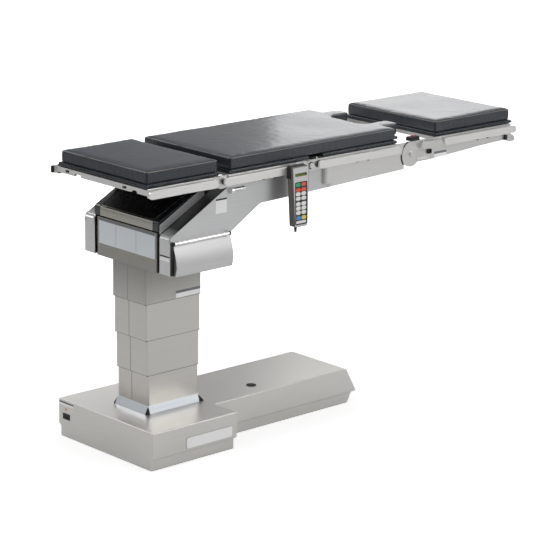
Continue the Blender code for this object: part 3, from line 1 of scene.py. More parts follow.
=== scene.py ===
# Looks for the operating table: finishes, cushions, keys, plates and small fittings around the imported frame.
import math
import bmesh
import bpy
from mathutils import Matrix, Vector, noise
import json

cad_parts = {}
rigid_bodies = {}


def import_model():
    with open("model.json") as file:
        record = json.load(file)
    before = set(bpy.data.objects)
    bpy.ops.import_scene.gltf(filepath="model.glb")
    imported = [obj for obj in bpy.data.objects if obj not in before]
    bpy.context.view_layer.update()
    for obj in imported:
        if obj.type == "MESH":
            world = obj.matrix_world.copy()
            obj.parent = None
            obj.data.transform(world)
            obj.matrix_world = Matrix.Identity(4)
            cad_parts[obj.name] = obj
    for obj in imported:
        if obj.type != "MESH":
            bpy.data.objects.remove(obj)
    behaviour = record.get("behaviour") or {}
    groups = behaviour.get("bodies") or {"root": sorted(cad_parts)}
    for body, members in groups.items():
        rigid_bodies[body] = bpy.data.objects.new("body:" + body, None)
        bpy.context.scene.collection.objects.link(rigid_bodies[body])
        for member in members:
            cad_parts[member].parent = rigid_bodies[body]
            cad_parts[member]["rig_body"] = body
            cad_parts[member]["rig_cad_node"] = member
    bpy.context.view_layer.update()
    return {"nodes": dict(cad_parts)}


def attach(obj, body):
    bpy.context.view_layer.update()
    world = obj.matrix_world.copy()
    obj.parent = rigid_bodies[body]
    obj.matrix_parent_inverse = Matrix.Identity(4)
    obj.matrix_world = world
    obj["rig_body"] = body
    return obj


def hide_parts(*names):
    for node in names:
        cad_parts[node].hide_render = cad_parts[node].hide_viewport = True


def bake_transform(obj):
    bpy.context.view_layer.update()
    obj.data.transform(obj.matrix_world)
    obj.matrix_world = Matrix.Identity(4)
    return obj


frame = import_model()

print("frame loaded")


# working helpers
def deselectAll():
    if bpy.context.mode != "OBJECT":
        bpy.ops.object.mode_set(mode="OBJECT")
    bpy.ops.object.select_all(action="DESELECT")


def pick(piece):
    deselectAll()
    piece.select_set(True)
    bpy.context.view_layer.objects.active = piece


def settle(piece):
    # the place goes into the mesh, and the object stays at the origin
    pick(piece)
    bpy.ops.object.transform_apply(location=True, rotation=True, scale=True)
    return piece


def addBlock(name, low, high):
    deselectAll()
    low, high = Vector(low), Vector(high)
    bpy.ops.mesh.primitive_cube_add(size=1, location=(low + high) / 2)
    piece = bpy.context.object
    piece.name = name
    piece.scale = high - low
    return settle(piece)


def addRod(name, start, end, radius, sides):
    deselectAll()
    start, end = Vector(start), Vector(end)
    line = end - start
    bpy.ops.mesh.primitive_cylinder_add(
        vertices=sides, radius=radius, depth=line.length, location=(start + end) / 2,
        rotation=line.to_track_quat("Z", "Y").to_euler())
    piece = bpy.context.object
    piece.name = name
    return settle(piece)


def choose(piece, kind, test):
    # leaves the piece in edit mode with what passes the test selected
    pick(piece)
    bpy.ops.object.mode_set(mode="EDIT")
    bpy.ops.mesh.select_mode(type=kind)
    bpy.ops.mesh.select_all(action="DESELECT")
    shape = bmesh.from_edit_mesh(piece.data)
    for part in {"FACE": shape.faces, "EDGE": shape.edges, "VERT": shape.verts}[kind]:
        part.select_set(test(part))
    bmesh.update_edit_mesh(piece.data)


def chooseFaces(piece, test):
    choose(piece, "FACE", lambda face: test(face.calc_center_median(), face.normal))


def chooseEdges(piece, test):
    choose(piece, "EDGE", lambda edge: test(edge.verts[0].co, edge.verts[1].co))


def chooseVerts(piece, test):
    choose(piece, "VERT", lambda vert: test(vert.co))


def leaveEdit():
    bpy.ops.object.mode_set(mode="OBJECT")


def deleteFaces(piece, test):
    chooseFaces(piece, test)
    bpy.ops.mesh.delete(type="FACE")
    leaveEdit()


def moveVerts(piece, test, shift):
    chooseVerts(piece, test)
    bpy.ops.transform.translate(value=shift)
    leaveEdit()


def placeVerts(piece, spots):
    piece.data.vertices.foreach_set("co", spots)
    piece.data.update()


def roundEdges(piece, test, width, segments):
    chooseEdges(piece, test)
    bpy.ops.mesh.bevel(offset=width, segments=segments, profile=0.5)
    leaveEdit()


def softenEdges(piece, width, segments=2, angle=30):
    # the weighted normals keep large faces flat right up to the eased edge
    applyModifier(piece, "BEVEL", width=width, segments=segments, limit_method="ANGLE",
                  angle_limit=math.radians(angle))
    bpy.ops.object.shade_smooth_by_angle(angle=math.radians(35))
    applyModifier(piece, "WEIGHTED_NORMAL", keep_sharp=True)


def turnOut(piece):
    pick(piece)
    bpy.ops.object.mode_set(mode="EDIT")
    bpy.ops.mesh.select_all(action="SELECT")
    bpy.ops.mesh.remove_doubles(threshold=0.00001)
    bpy.ops.mesh.normals_make_consistent(inside=False)
    leaveEdit()


def finishPiece(piece, body, finishName, replaced=()):
    piece.data.materials.clear()
    piece.data.materials.append(finishes[finishName])
    if replaced:
        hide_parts(*replaced)
    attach(piece, body)
    return piece


def applyModifier(piece, kind, **settings):
    pick(piece)
    bpy.ops.object.modifier_add(type=kind)
    change = piece.modifiers[-1]
    for key, value in settings.items():
        setattr(change, key, value)
    bpy.ops.object.modifier_apply(modifier=change.name)


def copyPattern(pattern, places):
    # a place is a name, a body, a finish and how far the copy lies from the pattern
    for name, body, finishName, shift in places:
        pick(pattern)
        bpy.ops.object.duplicate()
        piece = bpy.context.object
        piece.name = name
        piece.location = shift
        finishPiece(settle(piece), body, finishName)
    bpy.data.objects.remove(pattern)


def runsAlong(a, b, axis):
    # true for an edge that lies along one axis
    return all(abs(a[i] - b[i]) < 1e-5 for i in range(3) if i != axis)


# camera, at the photograph's angle
cameraLook = {
    "place": (-5.349, -6.531, 2.921),
    "yaw": 42.606, "pitch": -14.918, "roll": 0.780,
    "lens": 154.7, "shift": (-0.00892, 0.00404),
}
bpy.ops.object.camera_add(location=cameraLook["place"])
camera = bpy.context.object
aim = (Matrix.Rotation(math.radians(-cameraLook["yaw"]), 3, "Z")
       @ Matrix.Rotation(math.radians(90 + cameraLook["pitch"]), 3, "X")
       @ Matrix.Rotation(math.radians(cameraLook["roll"]), 3, "Z"))
camera.rotation_euler = aim.to_euler()
camera.data.sensor_width = 36
camera.data.lens = cameraLook["lens"]
camera.data.shift_x, camera.data.shift_y = cameraLook["shift"]
camera.data.clip_end = 200
bpy.context.scene.camera = camera
bpy.context.scene.view_settings.view_transform = "Standard"
print("camera set")


# node helpers for the studio and the finishes
def freshFinish(name, colour, roughness, metallic=0.0):
    finish = bpy.data.materials.new(name)
    finish.use_nodes = True
    tree = finish.node_tree
    shader = tree.nodes["Principled BSDF"]
    shader.inputs["Base Color"].default_value = (*colour, 1)
    shader.inputs["Roughness"].default_value = roughness
    shader.inputs["Metallic"].default_value = metallic
    return finish, tree, shader


def addNode(tree, kind, inputs=None, **settings):
    # an input takes either a link or a plain value
    node = tree.nodes.new("ShaderNode" + kind)
    for key, value in settings.items():
        setattr(node, key, value)
    for socket, value in (inputs or {}).items():
        if hasattr(value, "links"):
            tree.links.new(value, node.inputs[socket])
        else:
            node.inputs[socket].default_value = value
    return node


def stretchedNoise(tree, scale, detail=3.0):
    place = addNode(tree, "TexCoord").outputs["Object"]
    spread = addNode(tree, "Mapping", {"Vector": place, "Scale": scale}).outputs["Vector"]
    return addNode(tree, "TexNoise", {"Vector": spread, "Scale": 1.0, "Detail": detail}).outputs["Fac"]


def mixFloat(tree, share, low, high):
    return addNode(tree, "Mix", {0: share, 2: low, 3: high}, data_type="FLOAT").outputs[0]


def spreadRange(tree, source, low, high, start=0.3, end=0.7):
    spread = {"Value": source, "From Min": start, "From Max": end, "To Min": low, "To Max": high}
    return addNode(tree, "MapRange", spread).outputs["Result"]


def twoTone(tree, source, dark, light):
    ramp = addNode(tree, "ValToRGB", {"Fac": source})
    for element, position, colour in zip(ramp.color_ramp.elements, (0.3, 0.7), (dark, light)):
        element.position = position
        element.color = (*colour, 1)
    return ramp.outputs["Color"]


def linkedMath(tree, operation, first, second):
    return addNode(tree, "Math", {0: first, 1: second}, operation=operation).outputs[0]


def heightOf(tree, source):
    return addNode(tree, "SeparateXYZ", {"Vector": source}).outputs["Z"]


def scaledColour(tree, colour, share):
    return addNode(tree, "VectorMath", {0: colour, "Scale": share}, operation="SCALE").outputs["Vector"]


def addBump(tree, shader, height, strength, distance):
    bump = addNode(tree, "Bump", {"Height": height, "Strength": strength, "Distance": distance})
    tree.links.new(bump.outputs["Normal"], shader.inputs["Normal"])


# studio: white floor that keeps the shadow, soft lamps, white beyond
studio = {
    "floorSize": 60,
    "floorColour": 0.80,
    "floorMiddle": (0.5, 0.0),
    "whiteFrom": 1.2, "whiteTo": 3.2,
    "nearGlow": 0.50, "farGlow": 1.0,
    "shineNear": 0.10, "shineFar": 0.0,
    "worldFront": 0.42, "worldBack": 0.40,
    "behind": (0.67, 0.74), "worldTurn": (-0.2, 0.8),
    "lamps": [
        # name, place, aim, size, watts
        ("topLamp", (0.3, -0.3, 4.4), (0.5, 0, 0.7), 3.0, 62),
        ("keyLamp", (3.4, -4.4, 3.3), (0.6, 0, 0.6), 2.0, 75),
        ("edgeLamp", (-1.6, 3.9, 3.7), (0.0, 0, 0.6), 2.4, 46),
        ("farLamp", (3.0, 1.7, 1.80), (1.4, 0, 1.1), 1.2, 6),
        ("lowLamp", (2.2, 3.4, 0.55), (0.3, 0, 0.15), 1.0, 9),
    ],
}


def makeFloor():
    deselectAll()
    bpy.ops.mesh.primitive_plane_add(size=studio["floorSize"], location=(0, 0, 0))
    floor = bpy.context.object
    floor.name = "studioFloor"
    look = bpy.data.materials.new("studioFloor")
    look.use_nodes = True
    tree = look.node_tree
    tree.nodes.clear()
    rays = addNode(tree, "LightPath")
    # how far a spot of the floor is from the middle of the table
    place = addNode(tree, "TexCoord").outputs["Object"]
    middle = addNode(tree, "VectorMath", {0: place, 1: (*studio["floorMiddle"], 0)}, operation="DISTANCE")
    away = spreadRange(tree, middle.outputs["Value"], 0, 1, studio["whiteFrom"], studio["whiteTo"])
    seen = linkedMath(tree, "MULTIPLY", rays.outputs["Is Camera Ray"],
                      mixFloat(tree, away, studio["nearGlow"], studio["farGlow"]))
    mirrored = linkedMath(tree, "MULTIPLY", rays.outputs["Is Glossy Ray"],
                          mixFloat(tree, away, studio["shineNear"], studio["shineFar"]))
    glow = addNode(tree, "Emission", {"Strength": linkedMath(tree, "ADD", seen, mirrored)})
    matt = addNode(tree, "BsdfDiffuse", {"Color": (*[studio["floorColour"]] * 3, 1)})
    both = addNode(tree, "AddShader", {0: matt.outputs[0], 1: glow.outputs[0]})
    addNode(tree, "OutputMaterial", {"Surface": both.outputs[0]})
    floor.data.materials.append(look)


def makeWorld():
    world = bpy.data.worlds.new("studioWorld")
    bpy.context.scene.world = world
    world.use_nodes = True
    tree = world.node_tree
    tree.nodes.clear()
    # a little dimmer behind the table than in front of it
    place = addNode(tree, "TexCoord").outputs["Generated"]
    behind = addNode(tree, "VectorMath", {0: place, 1: (*studio["behind"], 0)}, operation="DOT_PRODUCT")
    strength = spreadRange(tree, behind.outputs["Value"], studio["worldFront"], studio["worldBack"],
                           *studio["worldTurn"])
    soft = addNode(tree, "Background", {"Color": (1, 1, 1, 1), "Strength": strength})
    white = addNode(tree, "Background", {"Color": (1, 1, 1, 1), "Strength": 1.0})
    seen = addNode(tree, "LightPath").outputs["Is Camera Ray"]
    choice = addNode(tree, "MixShader", {0: seen, 1: soft.outputs[0], 2: white.outputs[0]})
    addNode(tree, "OutputWorld", {"Surface": choice.outputs[0]})


def makeLamps():
    for name, place, target, size, watts in studio["lamps"]:
        bpy.ops.object.light_add(type="AREA", location=place)
        lamp = bpy.context.object
        lamp.name = name
        lamp.data.size = size
        lamp.data.energy = watts
        lamp.visible_camera = False
        lamp.rotation_euler = (Vector(target) - Vector(place)).to_track_quat("-Z", "Y").to_euler()


makeFloor()
makeWorld()
makeLamps()
print("studio set")


metal = dict(levelTurn=(0.6, 0.7), cloud=4, cloudShare=0.35, slopeTurn=(0.55, 0.84), depth=0.0002)
plastic = dict(cloud=9, spread=0.04, depth=0.0003)


def brushedMetal(name, look):
    finish, tree, shader = freshFinish(name, look["colour"], look["roughness"], look["metal"])
    upright = stretchedNoise(tree, look["uprightLines"])
    level = stretchedNoise(tree, look["levelLines"])
    # level faces are brushed across, and upright ones along
    side = addNode(tree, "TexCoord")
    facing = heightOf(tree, side.outputs["Normal"])
    steep = linkedMath(tree, "ABSOLUTE", facing, 0.0)
    lines = mixFloat(tree, spreadRange(tree, steep, 0, 1, *metal["levelTurn"]), upright, level)
    cloud = stretchedNoise(tree, (metal["cloud"],) * 3, 4.0)
    blend = mixFloat(tree, metal["cloudShare"], lines, cloud)
    spread = look["spread"]
    tree.links.new(spreadRange(tree, blend, look["roughness"] - spread, look["roughness"] + spread),
                   shader.inputs["Roughness"])
    dark = tuple(part * (1 - look["shade"]) for part in look["colour"])
    light = tuple(min(1, part * (1 + look["shade"])) for part in look["colour"])
    colour = twoTone(tree, blend, dark, light)
    if "fade" in look:
        # darker towards the top, where the carriage shades it
        low, high, least = look["fade"]
        place = heightOf(tree, side.outputs["Object"])
        colour = scaledColour(tree, colour, spreadRange(tree, place, 1.0, least, low, high))
    if "darkTop" in look:
        # painted shade under the table top: above a height, the faces that look up are almost black
        low, high, least = look["darkTop"]
        above = spreadRange(tree, heightOf(tree, side.outputs["Object"]), 0.0, 1.0, low, high)
        looksUp = spreadRange(tree, facing, 0.0, 1.0, *metal["slopeTurn"])
        share = linkedMath(tree, "MULTIPLY", above, looksUp)
        colour = scaledColour(tree, colour, spreadRange(tree, share, 1.0, least, 0.0, 1.0))
    tree.links.new(colour, shader.inputs["Base Color"])
    addBump(tree, shader, lines, look["bump"], metal["depth"])
    return finish


def plainPlastic(name, look):
    finish, tree, shader = freshFinish(name, look["colour"], look["roughness"])
    grain = stretchedNoise(tree, (look["grain"],) * 3, 2.0)
    cloud = stretchedNoise(tree, (plastic["cloud"],) * 3, 3.0)
    dark = tuple(part * (1 - look["shade"]) for part in look["colour"])
    light = tuple(min(1, part * (1 + look["shade"]) + 0.001) for part in look["colour"])
    tree.links.new(twoTone(tree, cloud, dark, light), shader.inputs["Base Color"])
    spread = plastic["spread"]
    tree.links.new(spreadRange(tree, cloud, look["roughness"] - spread, look["roughness"] + spread),
                   shader.inputs["Roughness"])
    shader.inputs["Coat Weight"].default_value = look.get("coat", 0.0)
    shader.inputs["Coat Roughness"].default_value = look.get("coatRoughness", 0.1)
    addBump(tree, shader, grain, look["bump"], plastic["depth"])
    return finish


def vinylCloth(name, look):
    finish, tree, shader = freshFinish(name, look["colour"], look["roughness"])
    place = addNode(tree, "TexCoord").outputs["Object"]
    cells = addNode(tree, "TexVoronoi", feature="DISTANCE_TO_EDGE")
    cells.inputs["Scale"].default_value = look["pebble"]
    tree.links.new(place, cells.inputs["Vector"])
    pebble = spreadRange(tree, cells.outputs["Distance"], 0, 1, 0.0, 0.25)
    fine = stretchedNoise(tree, (look["fine"],) * 3, 2.0)
    wear = stretchedNoise(tree, (look["wear"],) * 3, 5.0)
    dark = tuple(part * look["darkest"] for part in look["colour"])
    light = tuple(part * look["lightest"] for part in look["colour"])
    tree.links.new(twoTone(tree, wear, dark, light), shader.inputs["Base Color"])
    spread = look["spread"]
    tree.links.new(spreadRange(tree, wear, look["roughness"] - spread, look["roughness"] + spread),
                   shader.inputs["Roughness"])
    # the head end is less shiny than the seat and leg ends
    along = addNode(tree, "SeparateXYZ", {"Vector": place})
    tree.links.new(spreadRange(tree, along.outputs["X"], look["headCoat"], look["coat"], *look["coatTurn"]),
                   shader.inputs["Coat Weight"])
    shader.inputs["Coat Roughness"].default_value = look["coatRoughness"]
    shader.inputs["Coat IOR"].default_value = look["coatIor"]
    addBump(tree, shader, mixFloat(tree, 0.3, pebble, fine), look["bump"], 0.0004)
    return finish


def boardEdge(name, look):
    # dark laminate board with its layers showing at the edge
    finish, tree, shader = freshFinish(name, look["colour"], look["roughness"])
    layers = stretchedNoise(tree, (6, 6, look["layers"]), 1.0)
    dark = tuple(part * look["darkest"] for part in look["colour"])
    light = tuple(part * look["lightest"] for part in look["colour"])
    tree.links.new(twoTone(tree, layers, dark, light), shader.inputs["Base Color"])
    addBump(tree, shader, layers, look["bump"], 0.0003)
    return finish


sheetGrain = dict(uprightLines=(7, 7, 420), levelLines=(7, 420, 7), bump=0.06, spread=0.05, shade=0.05)
barGrain = dict(uprightLines=(9, 9, 700), levelLines=(9, 700, 9), bump=0.04, spread=0.05, shade=0.04)
finishLooks = {
    "stainless": dict(sheetGrain, colour=(0.66, 0.645, 0.62), roughness=0.34, metal=0.85),
    "columnSteel": dict(sheetGrain, colour=(0.59, 0.575, 0.545), roughness=0.33, metal=0.85),
    "shadeSteel": dict(sheetGrain, colour=(0.55, 0.54, 0.51), roughness=0.34, metal=0.85,
                       fade=(0.52, 0.73, 0.50)),
    "panelSteel": dict(sheetGrain, colour=(0.33, 0.32, 0.29), roughness=0.32, metal=0.9),
    # the cap and the arms carry painted shade under the table top on their upward faces
    "capSteel": dict(sheetGrain, colour=(0.42, 0.405, 0.37), roughness=0.28, metal=0.9, bump=0.03,
                     darkTop=(0.5, 0.6, 0.07)),
    "armSteel": dict(sheetGrain, colour=(0.66, 0.665, 0.67), roughness=0.36, metal=0.8,
                     darkTop=(0.862, 0.885, 0.10)),
    "coverSteel": dict(sheetGrain, colour=(0.62, 0.62, 0.625), roughness=0.50, metal=0.8),
    "frameSteel": dict(barGrain, colour=(0.76, 0.755, 0.745), roughness=0.32, metal=0.8),
    "railSteel": dict(barGrain, colour=(0.88, 0.87, 0.855), roughness=0.34, metal=0.65),
    "collarSteel": dict(barGrain, colour=(0.82, 0.86, 0.92), roughness=0.34, metal=0.75, shade=0.10,
                        bump=0.10, uprightLines=(5, 5, 520), levelLines=(5, 5, 520)),
    "seamSteel": dict(sheetGrain, colour=(0.34, 0.33, 0.31), roughness=0.40, metal=0.85),
    "chrome": dict(colour=(0.88, 0.88, 0.88), roughness=0.12, metal=1.0, spread=0.03, shade=0.02, bump=0.01,
                   uprightLines=(20, 300, 300), levelLines=(20, 300, 300)),
    "castSteel": dict(colour=(0.23, 0.23, 0.24), roughness=0.55, metal=1.0, spread=0.10, shade=0.12,
                      bump=0.25, uprightLines=(160, 160, 160), levelLines=(160, 160, 160)),
}
keyPlastic = dict(roughness=0.42, grain=500, bump=0.05, shade=0.05)
platePlastic = dict(roughness=0.36, grain=200, bump=0.02, shade=0.02)
plasticLooks = {
    "mattBlack": dict(colour=(0.012, 0.012, 0.013), roughness=0.48, grain=900, bump=0.12, shade=0.15),
    "glossBlack": dict(colour=(0.008, 0.010, 0.014), roughness=0.20, grain=60, bump=0.02, shade=0.1,
                       coat=0.4, coatRoughness=0.08),
    "rubber": dict(colour=(0.012, 0.012, 0.013), roughness=0.72, grain=500, bump=0.25, shade=0.2),
    "redPlastic": dict(colour=(0.62, 0.035, 0.03), roughness=0.34, grain=300, bump=0.03, shade=0.06),
    "amberLens": dict(colour=(0.90, 0.30, 0.04), roughness=0.18, grain=300, bump=0.02, shade=0.08, coat=0.5),
    "handsetGrey": dict(colour=(0.15, 0.14, 0.13), roughness=0.45, grain=800, bump=0.12, shade=0.08),
    "handsetFace": dict(colour=(0.62, 0.62, 0.62), roughness=0.38, grain=700, bump=0.05, shade=0.03),
    "windowOlive": dict(colour=(0.10, 0.135, 0.008), roughness=0.25, grain=300, bump=0.01, shade=0.12),
    "keyWhite": dict(keyPlastic, colour=(0.84, 0.84, 0.82), shade=0.03),
    "keyGreen": dict(keyPlastic, colour=(0.02, 0.42, 0.17)),
    "keyRed": dict(keyPlastic, colour=(0.82, 0.10, 0.05)),
    "keyBlue": dict(keyPlastic, colour=(0.09, 0.28, 0.74)),
    "keyYellow": dict(keyPlastic, colour=(0.84, 0.64, 0.06)),
    "plateWhite": dict(platePlastic, colour=(0.95, 0.95, 0.95), roughness=0.34),
    "platePale": dict(platePlastic, colour=(0.76, 0.80, 0.84)),
    "plateGrey": dict(platePlastic, colour=(0.17, 0.18, 0.195), shade=0.04),
    "pleatedVinyl": dict(colour=(0.020, 0.026, 0.034), roughness=0.27, grain=700, bump=0.15, shade=0.2),
    # top seams: a real sewn bead, coloured light as a painted highlight along the cushions' top edges
    "seamThreadAndHighlight": dict(colour=(0.21, 0.195, 0.17), roughness=0.45, grain=1500, bump=0.3, shade=0.2),
}
vinylLook = dict(colour=(0.018, 0.025, 0.034), darkest=0.82, lightest=1.25, roughness=0.40, spread=0.04,
                 pebble=850, fine=1500, wear=5, bump=0.14,
                 headCoat=0.175, coat=0.7, coatTurn=(-0.25, 0.60), coatRoughness=0.22, coatIor=1.6)
boardLook = dict(colour=(0.020, 0.020, 0.022), darkest=0.7, lightest=1.6, roughness=0.45, layers=1400,
                 bump=0.15)
finishes = {name: brushedMetal(name, look) for name, look in finishLooks.items()}
finishes.update({name: plainPlastic(name, look) for name, look in plasticLooks.items()})
finishes["vinyl"] = vinylCloth("vinyl", vinylLook)
finishes["board"] = boardEdge("board", boardLook)
print("finishes made")


# rigid frame parts: a copy of the CAD shape with its bends rounded and its edges eased
bendLook = dict(hoodTop=0.1475, hoodSide=0.14, hoodEnd=-0.2, segments=5)
collarLook = dict(below=0.1520, drop=0.0018)


def hoodTopBend(a, b):
    onOutline = min(abs(a.y), abs(b.y)) > bendLook["hoodSide"] or max(a.x, b.x) < bendLook["hoodEnd"]
    return min(a.z, b.z) > bendLook["hoodTop"] and onOutline


def bendAt(height, front, reach):
    # the edges at one height, in front of a face
    return lambda a, b: (abs(a.z - height) < reach and abs(b.z - height) < reach
                         and max(a.x, b.x) < front)


capFront = bendAt(0.908, -0.0995, 0.0015)
shoulder = bendAt(0.859, -0.096, 0.002)
bends = {
    # node: which edges are bends, and their radius
    "base_hood": (hoodTopBend, 0.0040),
    "top_cap": (capFront, 0.0140),
    "cap_trim_near": (capFront, 0.0080), "cap_trim_far": (capFront, 0.0080),
    "arm_near": (shoulder, 0.0080), "arm_far": (shoulder, 0.0080),
}
easedNodes = [
    # finish, slot, edge radius, nodes
    ("stainless", "stainless", 0.0012, ["base_hood"]),
    ("shadeSteel", "stainless", 0.0010, ["column_cover_1"]),
    ("columnSteel", "stainless", 0.0010, ["column_cover_2", "column_cover_3", "column_cover_4"]),
    ("collarSteel", "collar_steel", 0.0006, ["column_collar"]),
    ("panelSteel", "stainless", 0.0012, ["front_panel"]),
    ("capSteel", "stainless", 0.0010, ["top_cap"]),
    ("glossBlack", "cap_trim", 0.0020, ["cap_trim_near", "cap_trim_far"]),
    # the carriage shroud is matt black as painted shade in the gaps beside the front panel
    ("mattBlack", "black_plastic", 0.0008, ["carriage_shroud"]),
    ("armSteel", "stainless", 0.0012, ["arm_near", "arm_far"]),
    ("coverSteel", "stainless", 0.0006, ["drive_cover"]),
    ("chrome", "chrome", 0.0008, ["grab_rod"]),
    ("frameSteel", "stainless", 0.0008, ["seat_frame", "back_frame", "head_frame", "leg_frame",
                                         "leg_bracket_near", "leg_bracket_far"]),
    ("board", "phenolic", 0.0008, ["seat_top", "back_top", "head_top", "leg_top"]),
    ("handsetGrey", "handset_plastic", 0.0020, ["handset"]),
    ("railSteel", "rail_steel", 0.0008, ["leg_lever_near", "leg_lever_far"]),
    ("mattBlack", "black_plastic", 0.0008, ["latch_housing_near", "latch_housing_far"]),
    ("redPlastic", "red_plastic", 0.0006, ["latch_button_near", "latch_button_far"]),
    ("mattBlack", "black_plastic", 0.0004, ["power_rocker", "switch_bezel"]),
    ("railSteel", "rail_steel", 0.0010, [
        f"{section}_rail_{side}" for section in ("head", "back", "seat", "leg") for side in ("near", "far")]),
]


def easedCopy(nodeName, finishName, width):
    node = frame["nodes"][nodeName]
    body = node["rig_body"]
    pick(node)
    bpy.ops.object.duplicate()
    piece = bpy.context.object
    piece.name = nodeName + "_eased"
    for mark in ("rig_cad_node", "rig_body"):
        if mark in piece:
            del piece[mark]
    piece.parent = None
    pick(piece)
    bpy.ops.object.mode_set(mode="EDIT")
    bpy.ops.mesh.select_all(action="SELECT")
    bpy.ops.mesh.remove_doubles(threshold=0.00002)
    bpy.ops.mesh.dissolve_limited(angle_limit=math.radians(1.0))
    leaveEdit()
    if nodeName in bends:
        test, radius = bends[nodeName]
        roundEdges(piece, test, radius, bendLook["segments"])
    if nodeName == "column_collar":
        # the plates' lower edges come down onto the hood
        moveVerts(piece, lambda v: v.z < collarLook["below"], (0, 0, -collarLook["drop"]))
    softenEdges(piece, width)
    return finishPiece(piece, body, finishName, [nodeName])


for finishName, slotName, width, nodeNames in easedNodes:
    for nodeName in nodeNames:
        easedCopy(nodeName, finishName, width)

plainNodes = {
    "base_chassis": "castSteel", "power_unit": "castSteel", "mast_outer": "castSteel",
    "mast_middle": "castSteel", "mast_inner": "castSteel", "column_head": "castSteel",
    "tilt_spider": "castSteel", "tilt_drive": "castSteel", "trendelenburg_drive": "castSteel",
    "trunnion_shaft": "frameSteel", "tail_plug": "rubber", "collar_gasket": "rubber",
    "pilot_lamp": "amberLens",
}
for nodeName, finishName in plainNodes.items():
    node = frame["nodes"][nodeName]
    node.data.materials.clear()
    node.data.materials.append(finishes[finishName])
    pick(node)
    bpy.ops.object.shade_smooth_by_angle(angle=math.radians(35))
print("rigid parts finished")


# cushions
padLooks = {
    "headCushion": dict(x=(-0.211, 0.136), halfWidth=0.254, low=1.0725, top=1.1222, body="head",
                        replaced=["head_pad"], creases=0.0012),
    "legCushion": dict(x=(1.2665, 1.709), halfWidth=0.254, low=1.0725, top=1.1222, body="leg",
                       replaced=["leg_pad"], creases=0.0003),
    "mainCushion": dict(x=(0.185, 1.145), halfWidth=0.254, low=1.0725, top=1.1222, creases=0.0013,
                        sideEnd=1.052, shoulder=1.062, prongOut=0.180, prongIn=0.102, cutout=1.020,
                        cutoutRadius=0.045, prongRadius=0.018,
                        replaced=["back_pad", "cushion_fold", "seat_pad"]),
}
swell = dict(voxel=0.006, inset=0.003, pressure=4.0, cap=0.0045, frames=20, edge=0.005, corner=0.006)
seamLook = dict(topRadius=0.0011, cornerRadius=0.0024, step=0.010)


def planBlock(name, look):
    # a flat plan cut out of one plane, then drawn up to its height
    inset = swell["inset"]
    x0, x1 = look["x"][0] + inset, look["x"][1] - inset
    half = look["halfWidth"] - inset
    deselectAll()
    bpy.ops.mesh.primitive_plane_add(size=1, location=((x0 + x1) / 2, 0, look["low"]))
    piece = bpy.context.object
    piece.name = name
    piece.scale = (x1 - x0, 2 * half, 1)
    settle(piece)
    if "cutout" in look:
        bpy.ops.object.mode_set(mode="EDIT")
        cuts = [((look[key] - inset, 0, 0), (1, 0, 0)) for key in ("cutout", "shoulder")]
        for width in (look["prongOut"] - inset, look["prongIn"] + inset):
            cuts += [((0, width, 0), (0, 1, 0)), ((0, -width, 0), (0, 1, 0))]
        for place, across in cuts:
            bpy.ops.mesh.select_all(action="SELECT")
            bpy.ops.mesh.bisect(plane_co=place, plane_no=across)
        leaveEdit()
        beside = (look["shoulder"] - inset, look["prongOut"] - inset)
        between = (look["cutout"] - inset, look["prongIn"] + inset)
        deleteFaces(piece, lambda c, n: (c.x > beside[0] and abs(c.y) > beside[1])
                    or (c.x > between[0] and abs(c.y) < between[1]))
        moveVerts(piece, lambda v: v.x > look["sideEnd"] and abs(v.y) > half - 0.001,
                  (look["sideEnd"] - look["shoulder"], 0, 0))
    chooseFaces(piece, lambda c, n: True)
    bpy.ops.mesh.extrude_region_move(
        TRANSFORM_OT_translate={"value": (0, 0, look["top"] - look["low"] - inset)})
    leaveEdit()
    turnOut(piece)
    bpy.ops.object.mode_set(mode="EDIT")
    bpy.ops.mesh.select_all(action="SELECT")
    bpy.ops.mesh.dissolve_limited(angle_limit=0.01)
    leaveEdit()
    roundEdges(piece, lambda a, b: runsAlong(a, b, 2) and onOuterCorner(a, look), swell["corner"], 4)
    if "cutout" in look:
        roundEdges(piece, lambda a, b: runsAlong(a, b, 2) and abs(a.x - look["cutout"]) < 0.01
                   and abs(abs(a.y) - look["prongIn"]) < 0.01, look["cutoutRadius"], 6)
        roundEdges(piece, lambda a, b: runsAlong(a, b, 2) and abs(a.x - look["x"][1]) < 0.01,
                   look["prongRadius"], 5)
    return piece


def planCorners(look):
    inset = swell["inset"]
    ends = [look["x"][0] + inset]
    if "cutout" not in look:
        ends.append(look["x"][1] - inset)
    half = look["halfWidth"] - inset
    return [(x, y) for x in ends for y in (-half, half)]


def onOuterCorner(a, look):
    return any(abs(a.x - x) + abs(a.y - y) < 0.001 for x, y in planCorners(look))


def onCornerMiddle(a, look):
    # the middle edge of a rounded corner
    reach = swell["corner"] + 0.001
    return any(abs(a.x - x) < reach and abs(a.y - y) < reach
               and abs(abs(a.x - x) - abs(a.y - y)) < 0.0002 for x, y in planCorners(look))


def swellPad(piece, look):
    pick(piece)
    piece.data.remesh_voxel_size = swell["voxel"]
    bpy.ops.object.voxel_remesh()
    start = [vert.co.copy() for vert in piece.data.vertices]
    bpy.ops.object.modifier_add(type="CLOTH")
    cloth = piece.modifiers[-1]
    cloth.settings.use_pressure = True
    cloth.settings.uniform_pressure_force = swell["pressure"]
    cloth.settings.effector_weights.gravity = 0
    for step in range(1, swell["frames"] + 1):
        bpy.context.scene.frame_set(step)
    bpy.ops.object.modifier_apply(modifier=cloth.name)
    bpy.context.scene.frame_set(1)
    spots = []
    for vert, before in zip(piece.data.vertices, start):
        moved = vert.co - before
        if moved.length > swell["cap"]:
            moved *= swell["cap"] / moved.length
        place = before + moved
        spots.extend((place.x, place.y, max(place.z, look["low"])))
    placeVerts(piece, spots)


